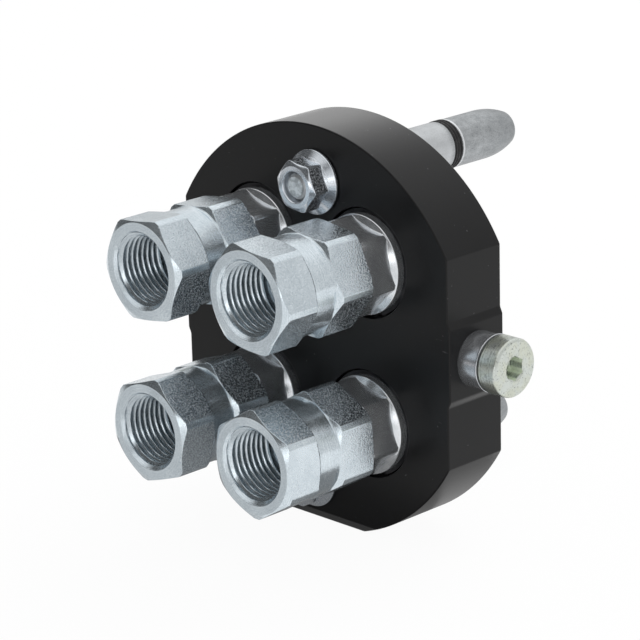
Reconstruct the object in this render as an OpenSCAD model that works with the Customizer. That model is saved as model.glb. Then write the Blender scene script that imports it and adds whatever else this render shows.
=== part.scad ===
// Movable half of a four-line hydraulic quick coupling plate.
// Lengths are millimetres. +Y points out of the mating face towards the other half, +Z is up,
// and the origin is the centre of the mating face. The hoses screw into the ports on the -Y side.

/* [Plate] */
// Diameter of the plate's round edge
plate_d = 115; // [113:0.5:120]
// Width across the two side flats
plate_w = 99.4; // [98:0.1:102]
// Height of the plate's centre above its foot flat
foot_h = 54.7; // [53:0.1:56]
// Thickness of the plate
plate_t = 21; // [19:0.5:25]
// Chamfer along the plate's edges
plate_edge = 0.4; // [0.2:0.1:0.8]
// How far the side pads stand proud of the flats
pad_rise = 0.8; // [0.4:0.1:1.5]
// Length of the flat top of a side pad
pad_l = 19.2; // [18:0.2:24]
// Length of the smooth ramp at each end of a side pad
pad_ramp = 2.4; // [1:0.1:4]

/* [Lines] */
// Sideways distance between the coupler axes
line_pitch_x = 40.2; // [39:0.1:42]
// Upright distance between the coupler axes
line_pitch_z = 45.2; // [44:0.1:47]

/* [Coupler body] */
// Diameter of the body where it runs through the plate
shank_d = 27.6; // [26.4:0.1:28.4]
// Diameter of the flange let into the mating face
flange_d = 30.6; // [29.6:0.1:31.6]
// Thickness of the flange
flange_t = 3; // [2:0.1:4]
// Diameter of the nose that enters the other half
nose_d = 24.5; // [24:0.1:25.5]
// Length of the nose behind the mating face
nose_l = 14; // [12:0.5:18]
// Height of the round collar proud of the plate's front
collar_l = 1.6; // [1.2:0.1:3]
// Width across the flats of the body's hexagon
body_af = 24; // [23.4:0.1:25]
// Diameter to which that hexagon's corners are turned
body_corner_d = 26.9; // [25.8:0.1:27.4]
// Length of the body's hexagon
body_hex_l = 10; // [8:0.5:14]
// Thread diameter of the tail inside the adapter
tail_d = 22; // [21.6:0.1:22.4]
// Length of the tail
tail_l = 10; // [9:0.5:12]
// Bore of the valve chamber
chamber_d = 18; // [17.2:0.1:18.4]
// Bore that the poppet's face closes
seat_d = 14; // [13:0.1:14.6]
// Length of that bore behind the nose's face
seat_l = 5; // [4.6:0.1:6]

/* [Snap ring] */
// Diameter of the recess around each body in the plate's front
recess_d = 30.4; // [30:0.1:31.4]
// Depth of the recess
recess_l = 2.4; // [2:0.1:3.5]
// Thickness of the snap ring
snap_t = 1.5; // [1:0.1:1.8]
// Outer diameter of the snap ring
snap_d = 29.6; // [29:0.1:29.8]
// Depth of its groove in the body
snap_groove = 0.8; // [0.5:0.1:1]
// Opening between the ends of the snap ring, in degrees
snap_open = 40; // [20:5:80]

/* [Port adapter] */
// Width across the flats of both adapter hexagons
adapter_af = 27; // [26.6:0.1:28]
// Diameter to which the hexagon corners are turned
adapter_d = 30.2; // [29.8:0.1:31]
// Length of the hexagon at the port
front_hex_l = 12; // [10:0.5:15]
// Length of the turned neck between the hexagons
neck_l = 7.5; // [6:0.1:10]
// Diameter of the turned neck
neck_d = 26.8; // [26:0.1:28.6]
// Length of the hexagon next to the coupler body
rear_hex_l = 12.5; // [11:0.1:16]
// Diameter of the flat face at the port's end, inside the chamfer
port_face_d = 26.4; // [25.4:0.1:26.5]
// Diameter of the flat face at the adapter's other end
face_d = 28.4; // [28.2:0.1:29]
// Minor diameter of the port's thread
port_d = 18.63; // [18:0.01:19.4]
// Diameter of the countersink at the port's mouth
port_mouth_d = 21.8; // [21:0.1:22.6]
// Depth of the threaded port
port_l = 16; // [14:0.5:17]
// Bore between the port and the valve
passage_d = 15; // [12:0.5:16]
// Turn of each adapter's hexagon: upper left, upper right, lower left, lower right
adapter_turn = [7, -7, 18, 31];
// Turn of the coupler bodies' hexagons
body_turn = 43.5; // [0:0.5:60]

/* [Valve] */
// Diameter of the poppet's shoulder behind its seat
shoulder_d = 15.6; // [15.2:0.1:16.4]
// Length of that shoulder
shoulder_l = 3; // [2:0.1:4]
// Diameter of the thick part of the stem
neck_stem_d = 8.4; // [7.6:0.1:9]
// Length of the thick part of the stem
neck_stem_l = 18; // [16:0.5:20]
// Diameter of the collar that the spring pushes on
spring_collar_d = 13; // [12.8:0.1:14]
// Thickness of that collar
spring_collar_l = 2.4; // [1.5:0.1:3]
// Diameter of the thin end of the stem
stem_d = 6; // [5:0.1:6.4]
// Travel of the poppet when the halves are joined
valve_travel = 7; // [5:0.5:8]
// Thickness of the valve guide's ring
guide_t = 3.8; // [3:0.1:4]
// Diameter of the guide's ring
guide_d = 19.4; // [19:0.1:19.8]
// Diameter of the guide's hub
guide_hub_d = 9; // [8.4:0.1:9.2]
// Length of the guide's hub
guide_hub_l = 7; // [6:0.5:8]
// Width of the guide's three ribs
guide_rib = 2.6; // [2:0.1:3.4]
// Wire of the spring
spring_wire = 1.2; // [0.8:0.1:1.3]
// Diameter of the spring between wire centres
spring_d = 11.4; // [11:0.1:11.6]
// Turns of the spring
spring_turns = 6; // [4:1:8]

/* [Guide pins] */
// Height of the upper guide pin above the centre
upper_pin_z = 42; // [41.6:0.1:43]
// Depth of the lower guide pin below the centre
lower_pin_z = 42.5; // [41.6:0.1:43]
// Sideways offset of the upper guide pin, so that the halves join one way round only
upper_pin_x = 2.3; // [0:0.1:3]
// Sideways offset of the lower guide pin
lower_pin_x = -1.1; // [-3:0.1:3]
// Diameter of the guide pins
guide_pin_d = 13.9; // [12:0.1:14.4]
// Length of the guide pins behind the mating face
guide_pin_l = 54.5; // [50:0.5:62]
// Length of the bullet nose
bullet_l = 10.5; // [8:0.5:16]
// Diameter left at the bullet's end
bullet_d = 9.6; // [8:0.1:11]
// Depth to which the pins are let into the mating face
pin_seat_l = 4; // [2:0.5:6]
// Thread diameter of the studs and the side pins
thread_d = 8; // [7:0.1:9]
// Distance of the rubber ring from the mating face
pin_ring_y = 27.2; // [20:0.1:32]
// Width of the rubber ring's groove
pin_ring_l = 3.3; // [2.4:0.1:4]
// Depth of the rubber ring's groove
pin_ring_depth = 1.6; // [1:0.1:2]

/* [Flange nuts] */
// Width across the flats of the nuts
nut_af = 13; // [12:0.5:14]
// Height of the nuts
nut_h = 8; // [7:0.1:9]
// Diameter to which the nuts' corners are turned
nut_corner_d = 14.6; // [14.2:0.1:14.9]
// Diameter of the flat face inside the corner chamfers
nut_face_d = 11.4; // [11:0.1:12.6]
// Diameter of the nuts' flange
nut_flange_d = 17.9; // [17:0.1:19]
// Thickness of the flange at its rim
nut_flange_t = 1; // [0.8:0.1:1.5]
// Height of the cone between the flange and the hexagon
nut_skirt_l = 2.8; // [2:0.1:3.5]
// Turn of the nuts' hexagons
nut_turn = 52; // [0:1:60]

/* [Side pins] */
// Diameter of the side pins' head
head_d = 16; // [15.4:0.1:17]
// Length of the head
head_l = 6; // [5.5:0.1:9]
// Width across the flats of the socket in the head
socket_af = 6; // [5:0.5:8]
// Depth of that socket
socket_l = 4.5; // [3:0.1:5.5]
// Diameter of the shoulder that the roller turns on
side_shoulder_d = 10; // [9.6:0.1:11]
// Length of that shoulder
side_shoulder_l = 8; // [6:0.1:9]
// Length of the side pins' thread
side_thread_l = 14; // [10:0.5:16]
// Outer diameter of the rollers
roller_d = 15.2; // [14:0.1:15.6]
// Diameter of the lip at the rollers' outer end
roller_lip_d = 16; // [15.7:0.1:16.8]
// Length of that lip
roller_lip_l = 0.7; // [0.5:0.1:1.2]
// Diameter of the shallow seat around the shoulder
side_seat_d = 15.9; // [15.7:0.1:17.4]
// Depth of that seat in the pad
side_seat_l = 0.5; // [0.3:0.1:1]

/* [Clearances] */
// Radial gap of a piece that slides or turns in another
slide_gap = 0.05; // [0.02:0.01:0.1]
// Radial gap of a piece that is screwed or pushed into another
fit_gap = 0.05; // [0.02:0.01:0.1]
// Gap at a roller's inner end, and in front of the guide and the tail
end_gap = 0.15; // [0.1:0.05:0.25]
// Gap between a roller and the head of its pin
roller_play = 0.6; // [0.2:0.1:0.9]

/* [Hidden] */
$fn = 96;
lean = 0.01; // how far a cut reaches past the face that it opens
stock = 2; // how far a cutting shape stands clear of the piece that it trims
line_name = ["upper_left", "upper_right", "lower_left", "lower_right"];
line_x = [-line_pitch_x / 2, line_pitch_x / 2, -line_pitch_x / 2, line_pitch_x / 2];
line_z = [line_pitch_z / 2, line_pitch_z / 2, -line_pitch_z / 2, -line_pitch_z / 2];
lines = [0 : 3];
line_parts = ["port_adapter", "coupler_body", "retaining_ring", "poppet", "poppet_spring",
    "poppet_seal", "valve_guide", "adapter_seal"];

// Places along a coupler's axis, from the mating face towards the other half
front_y = -plate_t;
body_hex_y = front_y - collar_l;
adapter_y = body_hex_y - body_hex_l;
neck_y = adapter_y - rear_hex_l;
port_hex_y = neck_y - neck_l;
port_y = port_hex_y - front_hex_l;
port_end_y = port_y + port_l;
tail_y = adapter_y - tail_l;
socket_y = tail_y - end_gap;
guide_y = socket_y + guide_t;
guide_seat_y = guide_y + end_gap;
seat_y = nose_l - seat_l;
shoulder_y = seat_y - slide_gap - shoulder_l;
spring_collar_y = shoulder_y - neck_stem_l;
spring_top_y = spring_collar_y - spring_collar_l;
stem_y = port_end_y + valve_travel; // the stem never reaches into the port

// Seals and grooves
seal_room = 1.4; // width of the adapter's seal recess
seal_recess_d = tail_d + 2 * fit_gap + 2 * seal_room;
seal_r = seal_room / 2 - fit_gap / 2;
poppet_seal_r = 0.75;
poppet_seal_y = seat_y + seat_l / 2;
snap_y = front_y + recess_l;
snap_slot = 0.1; // play of the snap ring along its groove
guide_wall = 1.2; // wall of the valve guide's outer ring

// Corner chamfers of every hexagon lie at 30 degrees to its face
chamfer_angle = 30;
seam_turn = 15; // keeps the turned faces' seam away from the corners
pin_ring_proud = 0.15;
nose_chamfer = 1;
flange_chamfer = 0.4;
body_chamfer = 0.8;
tail_chamfer = 0.8;

// Places along a side pin's axis, from the middle of the plate
pad_x = plate_w / 2 + pad_rise;
side_seat_x = pad_x - side_seat_l;
head_x = side_seat_x + side_shoulder_l;
head_chamfer = 0.6;
under_chamfer = 0.3;
side_hole_extra = 2; // unthreaded end of the tapped hole
roller_end_x = head_x - roller_play;
roller_chamfer = 0.4;
lip_chamfer = 0.2;
stud_short = 0.4; // the studs end this far inside the nuts
stud_chamfer = 1.3;
nut_mouth = 0.8; // countersink of the nuts
nut_rim = 0.4; // chamfer under the nuts' flange

// Colours as the photo shows them
black_anodised = "#232325";
bright_zinc = "#b9c2c8";
polished_steel = "#8d9296";
dull_zinc = "#a9aeb0";
passivated = "#b7bba6";
dark_steel = "#5d6067";
spring_steel = "#74777a";
rubber = "#151515";

// Turns a shape that stands on +Z so that it points along +Y
module along_y() {
    rotate([-90, 0, 0])
        children();
}

// Puts a shape drawn along a coupler's axis at line k
module on_line(k) {
    translate([line_x[k], 0, line_z[k]])
        along_y()
            children();
}

// Puts a shape drawn along a guide pin's axis at that pin
module on_guide_pin(x, z) {
    translate([x, 0, z])
        along_y()
            children();
}

// Puts a shape drawn along a side pin's axis at side 0, on +X, or side 1, on -X
module on_side(side) {
    mirror([side, 0, 0])
        translate([0, front_y / 2, 0])
            rotate([0, 90, 0])
                children();
}

// A tube or disc between two places on the axis
module ring(outer_d, inner_d, low, high) {
    translate([0, 0, low])
        difference() {
            cylinder(d = outer_d, h = high - low);
            translate([0, 0, -lean])
                cylinder(d = inner_d, h = high - low + 2 * lean);
        }
}

// A plain round between two places on the axis
module round_bar(d, low, high) {
    translate([0, 0, low])
        cylinder(d = d, h = high - low);
}

// A round with a chamfer at either end
module chamfered_bar(d, low, high, low_chamfer, high_chamfer) {
    r = d / 2;
    rotate_extrude()
        polygon([
            [0, low], [r - low_chamfer, low], [r, low + low_chamfer],
            [r, high - high_chamfer], [r - high_chamfer, high], [0, high]]);
}

// A plain hexagon bar between two places on the axis
module hexagon(af, low, high, turn) {
    translate([0, 0, low])
        rotate([0, 0, turn])
            cylinder(d = af / cos(30), h = high - low, $fn = 6);
}

// A hexagon bar whose corners are turned to corner_d and chamfered down to the ends' faces
module hex_bar(af, corner_d, low, high, low_face_d, high_face_d, turn) {
    r = corner_d / 2;
    low_drop = (r - low_face_d / 2) * tan(chamfer_angle);
    high_drop = (r - high_face_d / 2) * tan(chamfer_angle);
    rotate([0, 0, -turn - seam_turn])
        intersection() {
            hexagon(af, low, high, seam_turn);
            rotate_extrude()
                polygon([
                    [0, low], [low_face_d / 2, low], [r, low + low_drop],
                    [r, high - high_drop], [high_face_d / 2, high], [0, high]]);
        }
}

// A round rubber ring on the axis
module seal_ring(mean_d, section_r, place) {
    translate([0, 0, place])
        rotate_extrude()
            translate([mean_d / 2, 0])
                circle(r = section_r, $fn = 24);
}

// Outline of a side flat with its raised pad, seen along +Y
function pad_ramp_points(sign) = [
    for (step = [0 : 8])
        let (share = step / 8, rise = pad_rise * (1 - cos(180 * share)) / 2)
            [plate_w / 2 + rise, sign * (pad_l / 2 + pad_ramp * (1 - share))]];

module pad_outline() {
    lower = pad_ramp_points(-1);
    upper = pad_ramp_points(1);
    polygon(concat(
        [[0, -pad_l / 2 - pad_ramp]],
        lower,
        [for (step = [8 : -1 : 0]) upper[step]],
        [[0, pad_l / 2 + pad_ramp]]));
}

// A block between the two flats, with its front and back edges chamfered
module chamfered_slab(half_w, height) {
    c = plate_edge;
    linear_extrude(height)
        polygon([
            [-half_w, -c], [-half_w + c, 0], [half_w - c, 0], [half_w, -c],
            [half_w, front_y + c], [half_w - c, front_y],
            [-half_w + c, front_y], [-half_w, front_y + c]]);
}

module plate_blank() {
    r = plate_d / 2;
    intersection() {
        along_y()
            chamfered_bar(plate_d, front_y, 0, plate_edge, plate_edge);
        union() {
            translate([0, 0, -r])
                chamfered_slab(plate_w / 2, 2 * r);
            intersection() {
                translate([0, 0, -r])
                    chamfered_slab(pad_x, 2 * r);
                for (side = [0, 1])
                    mirror([side, 0, 0])
                        along_y()
                            translate([0, 0, front_y])
                                linear_extrude(plate_t)
                                    pad_outline();
            }
        }
        rotate([90, 0, 90])
            linear_extrude(2 * plate_d, center = true)
                polygon([
                    [front_y, r], [front_y, plate_edge - foot_h], [front_y + plate_edge, -foot_h],
                    [-plate_edge, -foot_h], [0, plate_edge - foot_h], [0, r]]);
    }
}

module coupler_hole() {
    round_bar(shank_d + 2 * fit_gap, front_y - lean, lean);
    round_bar(flange_d + 2 * fit_gap, -flange_t, lean);
    round_bar(recess_d, front_y - lean, snap_y);
}

module guide_pin_hole() {
    round_bar(thread_d + 2 * fit_gap, front_y - lean, lean);
    round_bar(guide_pin_d + 2 * fit_gap, -pin_seat_l, lean);
}

module side_pin_hole() {
    depth = side_thread_l + side_hole_extra;
    round_bar(thread_d + 2 * fit_gap, side_seat_x - depth, side_seat_x + lean);
    round_bar(side_seat_d, side_seat_x, pad_x + pad_rise);
}

module plate() {
    color(black_anodised)
        difference() {
            plate_blank();
            for (k = lines)
                on_line(k)
                    coupler_hole();
            on_guide_pin(upper_pin_x, upper_pin_z)
                guide_pin_hole();
            on_guide_pin(lower_pin_x, -lower_pin_z)
                guide_pin_hole();
            for (side = [0, 1])
                on_side(side)
                    side_pin_hole();
        }
}

// Outline of the bullet nose: one arc that leaves the pin's side smoothly
function bullet_points() =
    let (
        drop = (guide_pin_d - bullet_d) / 2,
        arc_r = (bullet_l * bullet_l + drop * drop) / (2 * drop),
        sweep = asin(bullet_l / arc_r))
    [for (step = [0 : 10])
        let (angle = sweep * step / 10)
            [guide_pin_d / 2 - arc_r * (1 - cos(angle)),
                guide_pin_l - bullet_l + arc_r * sin(angle)]];

module guide_pin() {
    stud_r = thread_d / 2;
    stud_y = front_y - nut_h + stud_short;
    color(dull_zinc)
        difference() {
            rotate_extrude()
                polygon(concat(
                    [[0, stud_y], [stud_r - stud_chamfer, stud_y],
                        [stud_r, stud_y + stud_chamfer],
                        [stud_r, -pin_seat_l], [guide_pin_d / 2, -pin_seat_l]],
                    bullet_points(),
                    [[0, guide_pin_l]]));
            ring(guide_pin_d + stock, guide_pin_d - 2 * pin_ring_depth,
                pin_ring_y, pin_ring_y + pin_ring_l);
        }
}

// Rubber ring that fills the pin's groove and stands a little proud of it
module guide_pin_ring() {
    inner = guide_pin_d / 2 - pin_ring_depth + fit_gap;
    outer = guide_pin_d / 2 + pin_ring_proud;
    low = pin_ring_y + fit_gap;
    high = pin_ring_y + pin_ring_l - fit_gap;
    bend = (high - low) / 4;
    color(rubber)
        rotate_extrude()
            union() {
                translate([inner, low])
                    square([outer - bend - inner, high - low]);
                translate([inner, low + bend])
                    square([outer - inner, high - low - 2 * bend]);
                translate([outer - bend, low + bend])
                    circle(r = bend, $fn = 32);
                translate([outer - bend, high - bend])
                    circle(r = bend, $fn = 32);
            }
}

// The nut's seat lies on the front of the plate, and its top points along -Y
module flange_nut() {
    flange_r = nut_flange_d / 2;
    top_y = front_y - nut_h;
    difference() {
        union() {
            rotate_extrude()
                polygon([
                    [0, front_y], [flange_r - nut_rim, front_y], [flange_r, front_y - nut_rim],
                    [flange_r, front_y - nut_flange_t], [nut_af / 2, front_y - nut_skirt_l],
                    [0, front_y - nut_skirt_l]]);
            hex_bar(nut_af, nut_corner_d, top_y, front_y - nut_flange_t,
                nut_face_d, nut_corner_d, nut_turn);
        }
        round_bar(thread_d + 2 * fit_gap, top_y - lean, front_y + lean);
        translate([0, 0, top_y - lean])
            cylinder(d1 = thread_d + 2 * nut_mouth, d2 = thread_d, h = nut_mouth);
    }
}

module flange_nuts() {
    color(bright_zinc) {
        on_guide_pin(upper_pin_x, upper_pin_z)
            flange_nut();
        on_guide_pin(lower_pin_x, -lower_pin_z)
            flange_nut();
    }
}

module side_pin() {
    end_x = head_x + head_l;
    low_x = side_seat_x - side_thread_l;
    head_r = head_d / 2;
    thread_r = thread_d / 2;
    color(passivated)
        difference() {
            rotate_extrude()
                polygon([
                    [0, low_x], [thread_r - tail_chamfer, low_x],
                    [thread_r, low_x + tail_chamfer], [thread_r, side_seat_x],
                    [side_shoulder_d / 2, side_seat_x], [side_shoulder_d / 2, head_x],
                    [head_r - under_chamfer, head_x], [head_r, head_x + under_chamfer],
                    [head_r, end_x - head_chamfer], [head_r - head_chamfer, end_x],
                    [0, end_x]]);
            hexagon(socket_af, end_x - socket_l, end_x + lean, 0);
        }
}

module side_roller() {
    color(dark_steel)
        difference() {
            union() {
                chamfered_bar(roller_d, side_seat_x + end_gap, roller_end_x,
                    roller_chamfer, roller_chamfer);
                chamfered_bar(roller_lip_d, roller_end_x - roller_lip_l, roller_end_x,
                    lip_chamfer, lip_chamfer);
            }
            round_bar(side_shoulder_d + 2 * slide_gap, side_seat_x, head_x);
        }
}

// One turned outline for the whole adapter, with a hexagon milled at either end of the neck
module adapter_blank(turn) {
    r = adapter_d / 2;
    neck_r = neck_d / 2;
    port_drop = (r - port_face_d / 2) * tan(chamfer_angle);
    face_drop = (r - face_d / 2) * tan(chamfer_angle);
    neck_drop = (r - neck_r) * tan(chamfer_angle);
    rotate([0, 0, -turn - seam_turn])
        intersection() {
            rotate_extrude()
                polygon([
                    [0, port_y], [port_face_d / 2, port_y], [r, port_y + port_drop],
                    [r, port_hex_y - neck_drop], [neck_r, port_hex_y],
                    [neck_r, neck_y], [r, neck_y + neck_drop],
                    [r, adapter_y - face_drop], [face_d / 2, adapter_y], [0, adapter_y]]);
            union() {
                hexagon(adapter_af, port_y, port_hex_y, seam_turn);
                round_bar(adapter_d + stock, port_hex_y, neck_y);
                hexagon(adapter_af, neck_y, adapter_y, seam_turn);
            }
        }
}

module port_adapter(k) {
    mouth_l = (port_mouth_d - port_d) / 2;
    color(bright_zinc)
        on_line(k)
            difference() {
                adapter_blank(adapter_turn[k]);
                round_bar(port_d, port_y - lean, port_end_y);
                translate([0, 0, port_y - lean])
                    cylinder(d1 = port_mouth_d + 2 * lean, d2 = port_d, h = mouth_l + lean);
                round_bar(passage_d, port_end_y - lean, socket_y + lean);
                round_bar(tail_d + 2 * fit_gap, socket_y, adapter_y + lean);
                round_bar(seal_recess_d, adapter_y - seal_room, adapter_y + lean);
            }
}

// One turned outline for the whole body, with its hexagon milled between tail and collar
module body_blank() {
    tail_r = tail_d / 2;
    shank_r = shank_d / 2;
    flange_r = flange_d / 2;
    nose_r = nose_d / 2;
    stock_d = flange_d + stock;
    corner_r = body_corner_d / 2;
    face_r = corner_r - body_chamfer;
    face_drop = (shank_r - face_r) * tan(chamfer_angle);
    cone_r = body_af / 2 - body_chamfer;
    cone_l = (shank_r - cone_r) * tan(chamfer_angle);
    rotate([0, 0, -body_turn - seam_turn])
        intersection() {
            rotate_extrude()
                polygon([
                    [0, tail_y], [tail_r - tail_chamfer, tail_y], [tail_r, tail_y + tail_chamfer],
                    [tail_r, adapter_y], [face_r, adapter_y],
                    [shank_r, adapter_y + face_drop], [shank_r, -flange_t],
                    [flange_r, -flange_t], [flange_r, -flange_chamfer],
                    [flange_r - flange_chamfer, 0], [nose_r, 0],
                    [nose_r, nose_l - nose_chamfer], [nose_r - nose_chamfer, nose_l],
                    [0, nose_l]]);
            union() {
                round_bar(stock_d, tail_y - stock, adapter_y);
                intersection() {
                    hexagon(body_af, adapter_y, body_hex_y, seam_turn);
                    round_bar(body_corner_d, adapter_y, body_hex_y);
                }
                translate([0, 0, body_hex_y - cone_l])
                    cylinder(r1 = cone_r, r2 = shank_r, h = cone_l);
                round_bar(stock_d, body_hex_y, nose_l + stock);
            }
        }
}

module coupler_body(k) {
    color(polished_steel)
        on_line(k)
            difference() {
                body_blank();
                round_bar(seat_d, seat_y - lean, nose_l + lean);
                round_bar(chamber_d, tail_y - lean, seat_y);
                round_bar(guide_d + 2 * fit_gap, tail_y - lean, guide_seat_y);
                ring(shank_d + stock, shank_d - 2 * snap_groove,
                    snap_y - snap_t - snap_slot, snap_y + snap_slot);
            }
}

module retaining_ring(k) {
    inner_d = shank_d - 2 * snap_groove + 2 * fit_gap;
    color(spring_steel)
        on_line(k)
            translate([0, 0, snap_y - snap_t])
                rotate([0, 0, snap_open / 2 + 90])
                    rotate_extrude(angle = 360 - snap_open)
                        translate([inner_d / 2, 0])
                            square([(snap_d - inner_d) / 2, snap_t]);
}

module poppet(k) {
    face_d = seat_d - 2 * slide_gap;
    seal_low = poppet_seal_y - poppet_seal_r - fit_gap;
    seal_high = poppet_seal_y + poppet_seal_r + fit_gap;
    shoulder_top_y = shoulder_y + shoulder_l;
    color(polished_steel)
        on_line(k)
            difference() {
                rotate_extrude()
                    polygon([
                        [0, stem_y], [stem_d / 2 - tail_chamfer, stem_y],
                        [stem_d / 2, stem_y + tail_chamfer], [stem_d / 2, spring_top_y],
                        [spring_collar_d / 2, spring_top_y],
                        [spring_collar_d / 2, spring_collar_y],
                        [neck_stem_d / 2, spring_collar_y], [neck_stem_d / 2, shoulder_y],
                        [shoulder_d / 2, shoulder_y], [shoulder_d / 2, shoulder_top_y],
                        [face_d / 2, shoulder_top_y], [face_d / 2, nose_l], [0, nose_l]]);
                ring(seat_d, face_d - 4 * poppet_seal_r, seal_low, seal_high);
            }
}

module poppet_seal(k) {
    color(rubber)
        on_line(k)
            seal_ring(seat_d - 2 * slide_gap - 2 * poppet_seal_r, poppet_seal_r - slide_gap / 2,
                poppet_seal_y);
}

// Three ribs carry the hub that the stem slides in, and oil flows between them
module valve_guide(k) {
    window_d = guide_d - 2 * guide_wall;
    color(dull_zinc)
        on_line(k)
            difference() {
                union() {
                    ring(guide_d, window_d, socket_y, guide_y);
                    round_bar(guide_hub_d, socket_y, socket_y + guide_hub_l);
                    for (turn = [0, 120, 240])
                        rotate([0, 0, turn])
                            translate([0, -guide_rib / 2, socket_y])
                                cube([(window_d + guide_wall) / 2, guide_rib, guide_t]);
                }
                round_bar(stem_d + 2 * slide_gap, socket_y - lean,
                    socket_y + guide_hub_l + lean);
            }
}

module adapter_seal(k) {
    color(rubber)
        on_line(k)
            seal_ring(tail_d + 2 * fit_gap + seal_room, seal_r, adapter_y - seal_room / 2);
}

// A wire of eight sides wound round the stem between the guide and the poppet's collar
module poppet_spring(k) {
    sides = 8;
    steps_per_turn = 14;
    steps = spring_turns * steps_per_turn;
    wire_r = spring_wire / 2;
    low = guide_y + wire_r + slide_gap;
    high = spring_top_y - wire_r - slide_gap;
    points = [
        for (step = [0 : steps], side = [0 : sides - 1])
            let (
                turn = 360 * step / steps_per_turn,
                around = 360 * side / sides,
                r = spring_d / 2 + wire_r * cos(around))
            [r * cos(turn), r * sin(turn),
                low + (high - low) * step / steps + wire_r * sin(around)]];
    walls = [
        for (step = [0 : steps - 1], side = [0 : sides - 1])
            let (next = (side + 1) % sides, here = step * sides, there = here + sides)
            [here + side, here + next, there + next, there + side]];
    first_end = [for (side = [sides - 1 : -1 : 0]) side];
    last_end = [for (side = [0 : sides - 1]) steps * sides + side];
    color(spring_steel)
        on_line(k)
            polyhedron(points, concat(walls, [first_end, last_end]));
}

plate();
on_guide_pin(upper_pin_x, upper_pin_z)  // guide_pin_upper
        guide_pin();
on_guide_pin(lower_pin_x, -lower_pin_z)  // guide_pin_lower
        guide_pin();
on_guide_pin(upper_pin_x, upper_pin_z)  // guide_pin_ring_upper
        guide_pin_ring();
on_guide_pin(lower_pin_x, -lower_pin_z)  // guide_pin_ring_lower
        guide_pin_ring();
flange_nuts();
on_side(0)  // side_pin_right
        side_pin();
on_side(1)  // side_pin_left
        side_pin();
on_side(0)  // side_roller_right
        side_roller();
on_side(1)  // side_roller_left
        side_roller();
for (k = lines) {
    port_adapter(k);
    coupler_body(k);
    retaining_ring(k);
    poppet(k);
    poppet_spring(k);
    poppet_seal(k);
    valve_guide(k);
    adapter_seal(k);
}
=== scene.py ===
# %% [markdown]
# # The movable half of a four-line hydraulic coupling plate
# A black anodised plate carries four push-in couplers. Hexagon adapters on its front take the
# hoses, and two guide pins on its back find their holes in the other half. This lesson dresses
# the imported CAD model: every visible piece is made again with rounded edges, real threads and
# a finish of its own, in the same places as the solids.
# The solids tell us where everything is, so the first cell loads them and bakes each one's place
# into its mesh.

# %% Load the solids
import math

import bmesh
import bpy
from mathutils import Matrix, Vector


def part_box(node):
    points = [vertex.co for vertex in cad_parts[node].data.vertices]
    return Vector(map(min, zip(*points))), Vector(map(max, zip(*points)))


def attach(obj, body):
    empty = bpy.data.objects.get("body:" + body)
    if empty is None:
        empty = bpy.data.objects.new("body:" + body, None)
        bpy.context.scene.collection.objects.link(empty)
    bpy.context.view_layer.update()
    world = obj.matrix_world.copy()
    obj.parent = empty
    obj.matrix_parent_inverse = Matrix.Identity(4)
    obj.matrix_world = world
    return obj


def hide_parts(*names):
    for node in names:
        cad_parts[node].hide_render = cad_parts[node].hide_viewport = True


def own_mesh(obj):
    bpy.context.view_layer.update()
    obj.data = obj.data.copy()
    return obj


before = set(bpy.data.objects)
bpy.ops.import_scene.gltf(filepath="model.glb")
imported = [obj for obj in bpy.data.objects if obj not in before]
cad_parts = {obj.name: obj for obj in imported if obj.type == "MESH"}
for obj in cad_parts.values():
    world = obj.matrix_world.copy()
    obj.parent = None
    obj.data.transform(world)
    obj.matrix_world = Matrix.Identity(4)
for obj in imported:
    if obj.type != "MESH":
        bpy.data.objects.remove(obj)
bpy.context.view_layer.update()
MM = 0.001
BODY = "plate_assembly"

# %% [markdown]
# ## Places
# A piece of the scene has to sit exactly where its solid sits, so the places are read from the
# solids' boxes. Only sizes that a box can't tell, such as chamfers, are given here as numbers.
# Lengths in this lesson are millimetres until a mesh is finished, because that is how a
# machinist reads them.

# %% Read the places
LINES = ["upper_left", "upper_right", "lower_left", "lower_right"]


def low_high(node):
    """The corners of a solid's box in millimetres."""
    low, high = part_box(node)
    return low / MM, high / MM


def middle(node):
    """The middle of a solid's box in millimetres."""
    low, high = low_high(node)
    return (low + high) / 2


plate_low, plate_high = low_high("plate")
FRONT_Y = plate_low.y
PLATE_R = plate_high.z
adapter_low, adapter_high = low_high("port_adapter_upper_left")
PORT_Y, ADAPTER_Y = adapter_low.y, adapter_high.y
body_low, body_high = low_high("coupler_body_upper_left")
TAIL_Y, NOSE_Y = body_low.y, body_high.y
print("plate", round(2 * PLATE_R, 1), "across, front at", round(FRONT_Y, 1))

# %% [markdown]
# ## The camera
# The photograph looks at the ports from the right and a little from above, through a long lens,
# so that near and far hexagons have nearly the same size. The direction, the roll and the
# distance were worked out from the circles of the bores and the plate's corners.
# The camera is the first object. All others enter the scene through the same small function.

# %% Camera
VIEW_AZIMUTH, VIEW_HEIGHT, VIEW_ROLL = 45.311, 17.762, -1.487
VIEW_DISTANCE, VIEW_SIDE, VIEW_UP = 817.836, 1.912, 2.424
FOCAL_PIXELS, PICTURE_PIXELS, SENSOR = 3003.66, 640, 36


def placed(name, data):
    """A new object in the scene, at the origin."""
    made = bpy.data.objects.new(name, data)
    bpy.context.scene.collection.objects.link(made)
    return made


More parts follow.
